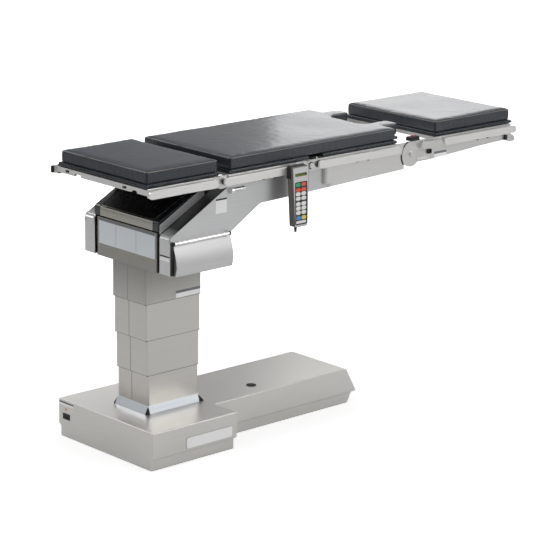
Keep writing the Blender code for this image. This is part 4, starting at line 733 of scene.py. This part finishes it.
ruffles = dict(
    # the size of each kind of wave, and how many there are to a metre
    slow=0.0011, slowRate=(7, 7, 5), small=0.0004, smallRate=(34, 34, 22), smallShift=9,
    side=0.0006, sideRate=(60, 60, 9),
    creaseStep=0.019, creaseLean=0.8, creaseMiddle=0.022, creaseReach=0.024, creaseSink=0.6, flat=0.002,
)


def wavePlace(p, rate, shift=0):
    return Vector((p.x * rate[0], p.y * rate[1] + shift, p.z * rate[2]))


def ruffle(piece, look):
    # slow waves all over, and slanting creases beside the sewn corners
    places = [(vert.co.copy(), vert.normal.copy()) for vert in piece.data.vertices]
    corners = planCorners(look)
    spots = []
    for p, out in places:
        push = noise.noise(wavePlace(p, ruffles["slowRate"])) * ruffles["slow"]
        push += noise.noise(wavePlace(p, ruffles["smallRate"], ruffles["smallShift"])) * ruffles["small"]
        if abs(out.z) < 0.7:
            away = min(math.hypot(p.x - x, p.y - y) for x, y in corners)
            lean = (away + ruffles["creaseLean"] * (p.z - look["low"])) / ruffles["creaseStep"]
            near = math.exp(-((away - ruffles["creaseMiddle"]) / ruffles["creaseReach"]) ** 2)
            push += look["creases"] * near * (abs(math.sin(math.pi * lean)) - ruffles["creaseSink"])
            push += ruffles["side"] * noise.noise(wavePlace(p, ruffles["sideRate"]))
        spots.extend(p + out * push if p.z > look["low"] + ruffles["flat"] else p)
    placeVerts(piece, spots)


def seamLine(name, plan, pad, test, radius):
    # a sewn seam: the plan's edges, laid onto the swollen pad and thickened
    pick(plan)
    bpy.ops.object.duplicate()
    line = bpy.context.object
    line.name = name
    chooseEdges(line, test)
    bpy.ops.mesh.select_all(action="INVERT")
    bpy.ops.mesh.delete(type="EDGE_FACE")
    bpy.ops.mesh.select_all(action="SELECT")
    bpy.ops.mesh.delete(type="ONLY_FACE")
    leaveEdit()
    chooseEdges(line, lambda a, b: True)
    longest = max((edge.verts[0].co - edge.verts[1].co).length
                  for edge in bmesh.from_edit_mesh(line.data).edges)
    leaveEdit()
    for length in (longest, longest / 8, longest / 64):
        if length > seamLook["step"]:
            chooseEdges(line, lambda a, b: (a - b).length > seamLook["step"])
            bpy.ops.mesh.subdivide(number_cuts=min(7, int(length / seamLook["step"])))
            leaveEdit()
    applyModifier(line, "SHRINKWRAP", target=pad, wrap_method="NEAREST_SURFACEPOINT")
    chooseVerts(line, lambda v: True)
    bpy.ops.mesh.remove_doubles(threshold=0.0005)
    leaveEdit()
    pick(line)
    bpy.ops.object.convert(target="CURVE")
    line = bpy.context.object
    line.data.bevel_depth = radius
    line.data.bevel_resolution = 2
    line.data.use_fill_caps = True
    bpy.ops.object.convert(target="MESH")
    line = bpy.context.object
    bpy.ops.object.shade_smooth()
    return line


def dressPad(piece, look, finishName):
    piece.data.materials.clear()
    piece.data.materials.append(finishes[finishName])
    if "body" in look:
        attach(piece, look["body"])
    else:
        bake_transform(piece)


def makeCushion(name):
    look = padLooks[name]
    plan = planBlock(name + "Plan", look)
    pick(plan)
    bpy.ops.object.duplicate()
    piece = bpy.context.object
    piece.name = name
    softenEdges(piece, swell["edge"], 2, 50)
    swellPad(piece, look)
    applyModifier(piece, "SUBSURF", levels=1, render_levels=1)
    ruffle(piece, look)
    bpy.ops.object.shade_smooth()
    level = look["top"] - swell["inset"] - 1e-4
    topSeam = seamLine(name + "Seam", plan, piece, lambda a, b: min(a.z, b.z) > level, seamLook["topRadius"])
    cornerSeam = seamLine(name + "Corners", plan, piece,
                          lambda a, b: runsAlong(a, b, 2) and onCornerMiddle(a, look),
                          seamLook["cornerRadius"])
    bpy.data.objects.remove(plan)
    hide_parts(*look["replaced"])
    dressPad(piece, look, "vinyl")
    # the top seam's light colour is a painted highlight along the top edges
    dressPad(topSeam, look, "seamThreadAndHighlight")
    dressPad(cornerSeam, look, "rubber")


for padName in padLooks:
    makeCushion(padName)
    print(padName, "made")


# pleated layer under each cushion, lapping over the top of the side plates
skirtLooks = {
    "headSkirt": dict(x=(-0.2150, 0.121), body="head"),
    "backSkirt": dict(x=(0.181, 0.582), body="back"),
    "seatSkirt": dict(x=(0.649, 1.050), body="table"),
    "legSkirt": dict(x=(1.2625, 1.713), body="leg"),
}
skirt = dict(low=1.0624, top=1.0735, halfWidth=0.2605, pleat=0.0125, depth=0.0040, step=0.0026, lean=1.3,
             rows=4, middle=0.45, swing=0.55, tuckShare=0.15)


def makeSkirt(name):
    look = skirtLooks[name]
    half = skirt["halfWidth"] - skirt["depth"]
    x0, x1 = look["x"]
    x0, x1 = x0 + skirt["depth"], x1 - skirt["depth"]
    piece = addBlock(name, (x0, -half, skirt["low"]), (x1, half, skirt["top"]))
    # the board side and the cushion side stay whole, and only the rim is divided
    chooseFaces(piece, lambda c, n: abs(n.z) > 0.5)
    bpy.ops.mesh.delete(type="ONLY_FACE")
    leaveEdit()
    for axis, size in ((0, x1 - x0 + 2 * skirt["depth"]), (1, 2 * half)):
        chooseEdges(piece, lambda a, b: abs(a[axis] - b[axis]) > 0.05)
        bpy.ops.mesh.subdivide(number_cuts=int(size / skirt["step"]))
        leaveEdit()
    chooseEdges(piece, lambda a, b: abs(a.z - b.z) > 0.001)
    bpy.ops.mesh.subdivide(number_cuts=skirt["rows"])
    leaveEdit()
    for level in (skirt["low"], skirt["top"]):
        chooseVerts(piece, lambda v: abs(v.z - level) < 1e-5)
        bpy.ops.mesh.edge_face_add()
        leaveEdit()
    turnOut(piece)
    spots = []
    for vert in piece.data.vertices:
        p = vert.co.copy()
        onEnd = min(abs(p.x - x0), abs(p.x - x1)) < 1e-4
        onSide = abs(abs(p.y) - half) < 1e-4
        if onEnd or onSide:
            along = p.x if onSide else p.y
            up = p.z - skirt["low"]
            wave = math.sin((along + up * skirt["lean"]) * 2 * math.pi / skirt["pleat"])
            share = up / (skirt["top"] - skirt["low"]) * (1 - skirt["tuckShare"]) + skirt["tuckShare"]
            tuck = math.sin(math.pi * min(1, share))
            push = skirt["depth"] * (skirt["middle"] + skirt["swing"] * wave) * tuck
            if onSide:
                p.y += math.copysign(push, p.y)
            if onEnd:
                p.x += math.copysign(push, p.x - (x0 + x1) / 2)
        spots.extend(p)
    placeVerts(piece, spots)
    pick(piece)
    bpy.ops.object.shade_smooth_by_angle(angle=math.radians(60))
    return finishPiece(piece, look["body"], "pleatedVinyl")


for skirtName in skirtLooks:
    makeSkirt(skirtName)
print("pleated layers made")


# plates and bands that lie on a face
plateSites = [
    # axis faced, face, body, slot, plates: name, span across, span up, thickness, corner, finish
    (1, -0.2840, "base", "stainless", [
        ("namePlateRim", (-0.0475, 0.1800), (0.0545, 0.0995), 0.0012, 0.0085, "seamSteel")]),
    (1, -0.2852, "base", "stainless", [
        ("namePlate", (-0.0460, 0.1785), (0.0560, 0.0980), 0.0010, 0.0075, "plateWhite")]),
    (0, -0.2030, "base", "black_plastic", [
        ("switchPlate", (0.194, 0.280), (0.1245, 0.1338), 0.0006, 0.0008, "plateWhite"),
        ("switchBand", (0.194, 0.280), (0.1338, 0.1385), 0.0006, 0.0008, "mattBlack")]),
    (0, -0.0971, "carriage", "stainless", [
        ("panelPlate", (-0.164, 0.164), (0.7650, 0.8620), 0.0008, 0.0020, "platePale")]),
    (0, -0.0979, "carriage", "stainless", [
        ("panelBand", (-0.164, 0.164), (0.8525, 0.8620), 0.0004, 0.0008, "plateGrey"),
        ("panelRuleLeft", (0.0620, 0.0632), (0.7720, 0.8520), 0.0003, 0.0003, "plateGrey"),
        ("panelRuleRight", (-0.0560, -0.0548), (0.7720, 0.8520), 0.0003, 0.0003, "plateGrey")]),
    (0, -0.0974, "table", "stainless", [
        ("wingPlate", (-0.2465, -0.1925), (0.7700, 0.7850), 0.0006, 0.0008, "plateWhite"),
        ("wingBand", (-0.2465, -0.1925), (0.7850, 0.7905), 0.0006, 0.0008, "mattBlack")]),
    (1, -0.2500, "table", "stainless", [
        ("armPlate", (0.1200, 0.1735), (0.9180, 0.9670), 0.0006, 0.0010, "plateWhite"),
        ("armBand", (0.1200, 0.1735), (0.9670, 0.9730), 0.0006, 0.0010, "mattBlack")]),
    (1, -0.0975, "lift", "stainless", [
        ("columnPlate", (0.0584, 0.1786), (0.5765, 0.5945), 0.0006, 0.0010, "plateWhite"),
        ("columnBand", (0.0584, 0.1786), (0.5945, 0.6045), 0.0006, 0.0010, "plateGrey")]),
    (1, -0.2700, "leg", "stainless", [
        ("legPlate", (1.2470, 1.3170), (0.9800, 0.9950), 0.0006, 0.0010, "plateWhite"),
        ("legBand", (1.2470, 1.3170), (0.9950, 1.0040), 0.0006, 0.0010, "plateGrey")]),
]


def makePlate(axis, face, name, across, up, thickness, corner):
    spans = [across, across, up]
    spans[axis] = (face - thickness, face)
    piece = addBlock(name, [span[0] for span in spans], [span[1] for span in spans])
    roundEdges(piece, lambda a, b: runsAlong(a, b, axis), corner, 4)
    softenEdges(piece, thickness * 0.35, 2, 50)
    return piece


for axis, face, body, slotName, plates in plateSites:
    for name, across, up, thickness, corner, finishName in plates:
        finishPiece(makePlate(axis, face, name, across, up, thickness, corner), body, finishName)
print("plates made")


# small fittings
sides = (("Near", -1), ("Far", 1))


def roundRod(name, start, end, radius, ease):
    piece = addRod(name, start, end, radius, 28)
    softenEdges(piece, ease, 3, 50)
    return piece


def easedBlock(name, low, high, ease):
    piece = addBlock(name, low, high)
    softenEdges(piece, ease, 3, 50)
    return piece


def sideBlock(name, side, look):
    # a block on one side of the table, from its spans along, out and up
    across = sorted((side * look["out"][0], side * look["out"][1]))
    return addBlock(name, (look["x"][0], across[0], look["z"][0]), (look["x"][1], across[1], look["z"][1]))


def bothSides(pattern, out, body, finishName):
    # the pattern stands on the middle plane, and a copy goes out to each side
    copyPattern(pattern, [(pattern.name + label, body, finishName, (0, side * out, 0))
                                    for label, side in sides])


def arcOfRing(name, centre, radius, thick, start, turn):
    # part of a ring round an axis across the table, from a start angle in degrees
    deselectAll()
    bpy.ops.mesh.primitive_torus_add(location=centre, rotation=(math.pi / 2, 0, 0), major_radius=radius,
                                     minor_radius=thick, major_segments=72, minor_segments=10)
    piece = bpy.context.object
    piece.name = name
    settle(piece)
    if turn < 360:
        deleteFaces(piece, lambda c, n: (math.degrees(math.atan2(c.z - centre[2], c.x - centre[0]))
                                         - start) % 360 > turn)
        chooseVerts(piece, lambda v: True)
        bpy.ops.mesh.fill_holes(sides=0)
        leaveEdit()
    turnOut(piece)
    pick(piece)
    bpy.ops.object.shade_smooth_by_angle(angle=math.radians(50))
    return piece


armJoinLook = dict(x=(0.6560, 0.6836), out=(0.2502, 0.2696), z=(0.9560, 1.0260), corner=0.0160, ease=0.0006)
armShadeWebLook = dict(low=(0.258, -0.191, 0.908), high=(0.264, 0.191, 1.006), ease=0.0010)


def makeArmTrim():
    # curved end of the seat's side plate, run up from the arm's face
    look = armJoinLook
    for label, side in sides:
        piece = sideBlock("armJoin" + label, side, look)
        roundEdges(piece, lambda a, b: runsAlong(a, b, 2) and abs(a.x - look["x"][0]) < 1e-4
                   and abs(abs(a.y) - look["out"][1]) < 1e-4, look["corner"], 8)
        softenEdges(piece, look["ease"], 2, 50)
        finishPiece(piece, "table", "frameSteel")
    # dark cross web between the arms, seen through the gap above the cap: painted shade of the hollow behind
    # the cap
    finishPiece(easedBlock("armShadeWeb", **armShadeWebLook), "table", "mattBlack")


columnLook = dict(front=-0.088, back=0.182, half=0.0975, frontStep=0.0063, backStep=0.0025, sideStep=0.0025,
                  bottoms=(0.575, 0.434, 0.297, 0.1795), tops=(0.741, 0.600, 0.460, 0.330),
                  seam=(0.0060, 0.0086), seamProud=0.0005, seamSunk=0.0004, seamEnds=(0.001, -0.004),
                  seamEase=0.0002, lips=3, lipFront=0.0008, lipInset=0.0006, lipEnds=(-0.0016, 0.0012),
                  lipWall=0.0014, lipEase=0.0003)
coverBodies = [frame["nodes"][f"column_cover_{number}"]["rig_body"] for number in (1, 2, 3, 4)]


def makeColumnTrim():
    look = columnLook
    for index, body in enumerate(coverBodies):
        # the lapped seam down the head-end face
        front = look["front"] + index * look["frontStep"]
        low = look["bottoms"][index] + look["seamEnds"][0]
        high = look["tops"][index] + look["seamEnds"][1]
        piece = easedBlock(f"coverSeam_{index}", (front - look["seamProud"], look["seam"][0], low),
                           (front + look["seamSunk"], look["seam"][1], high), look["seamEase"])
        finishPiece(piece, body, "seamSteel")
    for index in range(look["lips"]):
        # dark lip in the step between two covers: painted shadow line under each cover's lower edge
        front = look["front"] + index * look["frontStep"] + look["lipFront"]
        back = look["back"] - index * look["backStep"] - look["lipInset"]
        half = look["half"] - index * look["sideStep"] - look["lipInset"]
        low, high = (look["bottoms"][index] + end for end in look["lipEnds"])
        piece = addBlock(f"coverLip_{index}", (front, -half, low), (back, half, high))
        deleteFaces(piece, lambda c, n: abs(n.z) > 0.5)
        applyModifier(piece, "SOLIDIFY", thickness=look["lipWall"], offset=-1)
        softenEdges(piece, look["lipEase"], 2, 50)
        finishPiece(piece, coverBodies[index], "rubber")


capSideLook = dict(x=(-0.0955, 0.1180), half=0.0008, z=(0.8630, 0.8975), rise=0.1145, out=0.1878, ease=0.0005)


def makeCapSides():
    # steel side of the sloping cap, between the corner post and the arm
    look = capSideLook
    piece = addBlock("capSide", (look["x"][0], -look["half"], look["z"][0]),
                     (look["x"][1], look["half"], look["z"][1]))
    moveVerts(piece, lambda v: v.x > 0, (0, 0, look["rise"]))
    softenEdges(piece, look["ease"], 2, 40)
    bothSides(piece, look["out"], "carriage", "armSteel")


driveTrim = dict(
    endLow=(-0.0838, -0.2705, 0.7150), endHigh=(-0.0822, -0.2503, 0.8285), endRows=10, endEase=0.0004,
    outside=-0.26, widest=0.7450, foot=-0.2508, bulge=0.0195, tuck=0.38, tuckShare=0.36,
    ends=(("coverEndNear", 0), ("coverEndRear", 0.2730)),
    stripLow=(-0.0955, -0.2556, 0.7190), stripHigh=(-0.0838, -0.2502, 0.8440), stripEase=0.0006,
    rodEnds=(("rodEndNear", -0.0955, -0.0880), ("rodEndRear", 0.1740, 0.1812)),
    rodPlace=(-0.262, 0.8395), rodRadius=0.0074, rodEase=0.0008,
)


def coverOutline(z):
    # round from the top to the widest height, and drawn in below it
    top = driveTrim["endHigh"][2]
    share = (top - z) / (top - driveTrim["widest"])
    if share < 1:
        return math.sin(share * math.pi / 2)
    return 1 - driveTrim["tuck"] * (share - 1) / driveTrim["tuckShare"]


def makeDriveTrim():
    look = driveTrim
    piece = addBlock("coverEnd", look["endLow"], look["endHigh"])
    chooseEdges(piece, lambda a, b: runsAlong(a, b, 2))
    bpy.ops.mesh.subdivide(number_cuts=look["endRows"])
    leaveEdit()
    for vert in piece.data.vertices:
        if vert.co.y < look["outside"]:
            vert.co.y = look["foot"] - look["bulge"] * coverOutline(vert.co.z)
    softenEdges(piece, look["endEase"], 2, 50)
    copyPattern(piece, [(name, "table", "seamSteel", (x, 0, 0)) for name, x in look["ends"]])
    piece = easedBlock("coverEndStrip", look["stripLow"], look["stripHigh"], look["stripEase"])
    finishPiece(piece, "table", "mattBlack")
    for name, start, end in look["rodEnds"]:
        piece = roundRod(name, (start, *look["rodPlace"]), (end, *look["rodPlace"]), look["rodRadius"],
                         look["rodEase"])
        finishPiece(piece, "table", "rubber")


railCapLook = dict(low=(-0.2250, 0.2796, 1.0290), high=(-0.2130, 0.2912, 1.0560), ease=0.0040)
railShadeDisc = dict(
    z=1.0418, half=0.00465, out=0.27495, radius=0.0132, ease=0.0010,
    places=(("BackStart", 0.1445, "back"), ("BackEnd", 0.5335, "back"), ("SeatStart", 0.6175, "table")),
)
railFoot = dict(
    low=(-0.0045, -0.00435, 1.0215), high=(0.0045, 0.00435, 1.0274), out=0.27465, ease=0.0008,
    places=((0.331, "back"), (0.387, "back"), (0.816, "table"), (0.874, "table"),
            (1.491, "leg"), (1.551, "leg")),
)


def makeRailTrim():
    # rubber cap on the far head rail's free end
    finishPiece(easedBlock("railCapFar", **railCapLook), "head", "rubber")
    # dark discs behind the rail ends, beside each hinge: painted shadow of the gap between each rail and its
    # side plate
    look = railShadeDisc
    pattern = roundRod("railShadeDisc", (0, -look["half"], look["z"]), (0, look["half"], look["z"]),
                       look["radius"], look["ease"])
    copyPattern(pattern, [
        (f"railShadeDisc{place}{label}", body, "rubber", (x, side * look["out"], 0))
        for label, side in sides for place, x, body in look["places"]])
    # small feet under the rails
    look = railFoot
    pattern = easedBlock("railFoot", look["low"], look["high"], look["ease"])
    copyPattern(pattern, [
        (f"railFoot{label}_{index}", body, "mattBlack", (x, side * look["out"], 0))
        for label, side in sides for index, (x, body) in enumerate(look["places"])])


# pairs, each modelled on the middle plane
pairedRods = [
    # name, start, end, radius, edge, distance out, body, slot, finish
    ("stopSocket", (0.186, 0, 0.996), (0.205, 0, 0.996), 0.0118, 0.0026, 0.2535, "table", "chrome",
     "frameSteel"),
    ("stopHead", (0.205, 0, 0.996), (0.234, 0, 0.996), 0.0046, 0.0010, 0.2535, "table", "chrome",
     "frameSteel"),
    ("plungerPin", (1.668, 0, 1.0045), (1.684, 0, 1.0045), 0.0032, 0.0006, 0.2752, "leg", "rail_steel",
     "chrome"),
    ("cornerKnob", (0.607, 0, 1.0618), (0.607, 0, 1.0700), 0.0036, 0.0014, 0.2675, "table", "rail_steel",
     "chrome"),
]
# dark rings and arcs round the hinge hubs: painted shade of the gaps round each hub
pairedArcs = [
    # name, centre, radius, thickness, start angle, turn, distance out
    ("backPivotShadeRing", (0.576, 0, 1.041), 0.0125, 0.0016, 0, 360, 0.2705),
    ("legHubShadeArcLow", (1.117, 0, 1.012), 0.0560, 0.0030, 176, 46, 0.2696),
    ("legHubShadeArcHigh", (1.117, 0, 1.012), 0.0542, 0.0026, 112, 32, 0.2696),
]
plungerBlockLook = dict(low=(1.655, -0.00435, 0.9990), high=(1.668, 0.00435, 1.0200), ease=0.0010)
leverCatchLook = dict(x=(1.206, 1.224), out=(0.2703, 0.2795), z=(1.003, 1.0205),
                      rim=0.004, sunk=0.005, ease=0.0007)


def makePairs():
    for name, start, end, radius, ease, out, body, slotName, finishName in pairedRods:
        bothSides(roundRod(name, start, end, radius, ease), out, body, finishName)
    for name, centre, radius, thick, start, turn, out in pairedArcs:
        # each arc is dark as painted shade of a hinge gap
        piece = arcOfRing(name, centre, radius, thick, start, turn)
        bothSides(piece, out, "table", "rubber")
    block = easedBlock("plungerBlock", **plungerBlockLook)
    bothSides(block, railFoot["out"], "leg", "mattBlack")
    # catch beside the leg lever, hollow on its outside
    look = leverCatchLook
    for label, side in sides:
        piece = sideBlock("leverCatch" + label, side, look)
        chooseFaces(piece, lambda c, n: n.y * side > 0.5)
        bpy.ops.mesh.inset(thickness=look["rim"])
        bpy.ops.mesh.extrude_region_move(TRANSFORM_OT_translate={"value": (0, -side * look["sunk"], 0)})
        leaveEdit()
        softenEdges(piece, look["ease"], 2, 50)
        finishPiece(piece, "leg", "mattBlack")


makeArmTrim()
makeColumnTrim()
makeCapSides()
makeDriveTrim()
makeRailTrim()
makePairs()
print("fittings made")


# handset: silver face, window, keys and black hook
handsetLook = dict(
    front=-0.3220, faceDepth=0.0008, keypadDepth=0.0006, paneDepth=0.0005, keyDepth=0.0012, keyCorner=0.42,
    plates=[
        # name, across at the top, across at the foot, up, corner, finish
        ("handsetFace", (0.4362, 0.5148), (0.4520, 0.5128), (0.8300, 1.0570), 0.004, "handsetFace"),
        ("handsetKeypad", (0.4466, 0.5090), (0.4518, 0.5130), (0.8365, 1.0018), 0.006, "glossBlack"),
    ],
    panes=[
        # name, across, up, share of the height rounded, finish
        ("handsetWindow", (0.4470, 0.4970), (1.0232, 1.0352), 0.1, "windowOlive"),
        ("handsetWindowEnd", (0.4972, 0.5060), (1.0232, 1.0352), 0.1, "glossBlack"),
        ("handsetStrip", (0.4550, 0.5050), (0.8422, 0.8522), 0.3, "keyWhite"),
    ],
    rows=(0.9915, 0.9717, 0.9558, 0.9384, 0.9175, 0.9007, 0.8838, 0.8637),
    columnsTop=(0.4616, 0.4894), columnsLow=(0.4660, 0.4933), keySize=(0.0236, 0.0146),
    colours=[("keyGreen", "keyRed"), ("keyRed", "keyRed")] + [("keyWhite", "keyWhite")] * 5
    + [("keyBlue", "keyYellow")],
    hookLow=(0.4325, -0.3110, 1.0150), hookHigh=(0.5185, -0.2917, 1.0603), hookFrom=1.05,
    hookCorner=0.0060, hookEase=0.0008,
    bootLow=(0.467, -0.3072, 0.8070), bootTop=(0.467, -0.3072, 0.8290), bootRadius=0.0062,
    bootTaper=0.72, bootEase=0.0010,
)


def makePane(name, across, up, front, depth, corner):
    piece = addBlock(name, (across[0], front - depth, up[0]), (across[1], front, up[1]))
    roundEdges(piece, lambda a, b: runsAlong(a, b, 1), (up[1] - up[0]) * corner, 4)
    softenEdges(piece, depth * 0.45, 2, 50)
    return piece


def taperedPlate(name, acrossTop, acrossLow, up, front, depth, corner):
    piece = addBlock(name, (acrossTop[0], front - depth, up[0]), (acrossTop[1], front, up[1]))
    for top, low in zip(acrossTop, acrossLow):
        moveVerts(piece, lambda v: v.z < up[0] + 1e-5 and abs(v.x - top) < 1e-5, (low - top, 0, 0))
    roundEdges(piece, lambda a, b: runsAlong(a, b, 1), corner, 5)
    softenEdges(piece, depth * 0.4, 2, 50)
    return piece


def makeHandset():
    look = handsetLook
    faceFront = look["front"] - look["faceDepth"]
    keypadFront = faceFront - look["keypadDepth"]
    layers = ((look["front"], look["faceDepth"]), (faceFront, look["keypadDepth"]))
    for (front, depth), (name, top, low, up, corner, finishName) in zip(layers, look["plates"]):
        piece = taperedPlate(name, top, low, up, front, depth, corner)
        finishPiece(piece, "handset", finishName)
    fronts = (faceFront, faceFront, keypadFront)
    for front, (name, across, up, corner, finishName) in zip(fronts, look["panes"]):
        piece = makePane(name, across, up, front, look["paneDepth"], corner)
        finishPiece(piece, "handset", finishName)
    # one key, copied to its places in two slanting columns
    wide, high = look["keySize"]
    key = makePane("handsetKey", (-wide / 2, wide / 2), (-high / 2, high / 2), keypadFront, look["keyDepth"],
                   look["keyCorner"])
    places = []
    for row, z in enumerate(look["rows"]):
        share = row / (len(look["rows"]) - 1)
        for column in (0, 1):
            x = look["columnsTop"][column] * (1 - share) + look["columnsLow"][column] * share
            places.append((f"handsetKey_{row}_{column}", "handset", look["colours"][row][column], (x, 0, z)))
    copyPattern(key, places)
    # black hook shell round the upper back, and the boot where a lead would leave
    hook = addBlock("handsetHook", look["hookLow"], look["hookHigh"])
    roundEdges(hook, lambda a, b: runsAlong(a, b, 1) and a.z > look["hookFrom"], look["hookCorner"], 5)
    softenEdges(hook, look["hookEase"], 2, 50)
    finishPiece(hook, "handset", "mattBlack")
    boot = addRod("handsetBoot", look["bootLow"], look["bootTop"], look["bootRadius"], 24)
    chooseFaces(boot, lambda c, n: n.z < -0.5)
    bpy.ops.transform.resize(value=(look["bootTaper"], look["bootTaper"], 1), center_override=look["bootLow"])
    leaveEdit()
    softenEdges(boot, look["bootEase"], 3, 50)
    finishPiece(boot, "handset", "rubber")


makeHandset()
print("handset made")
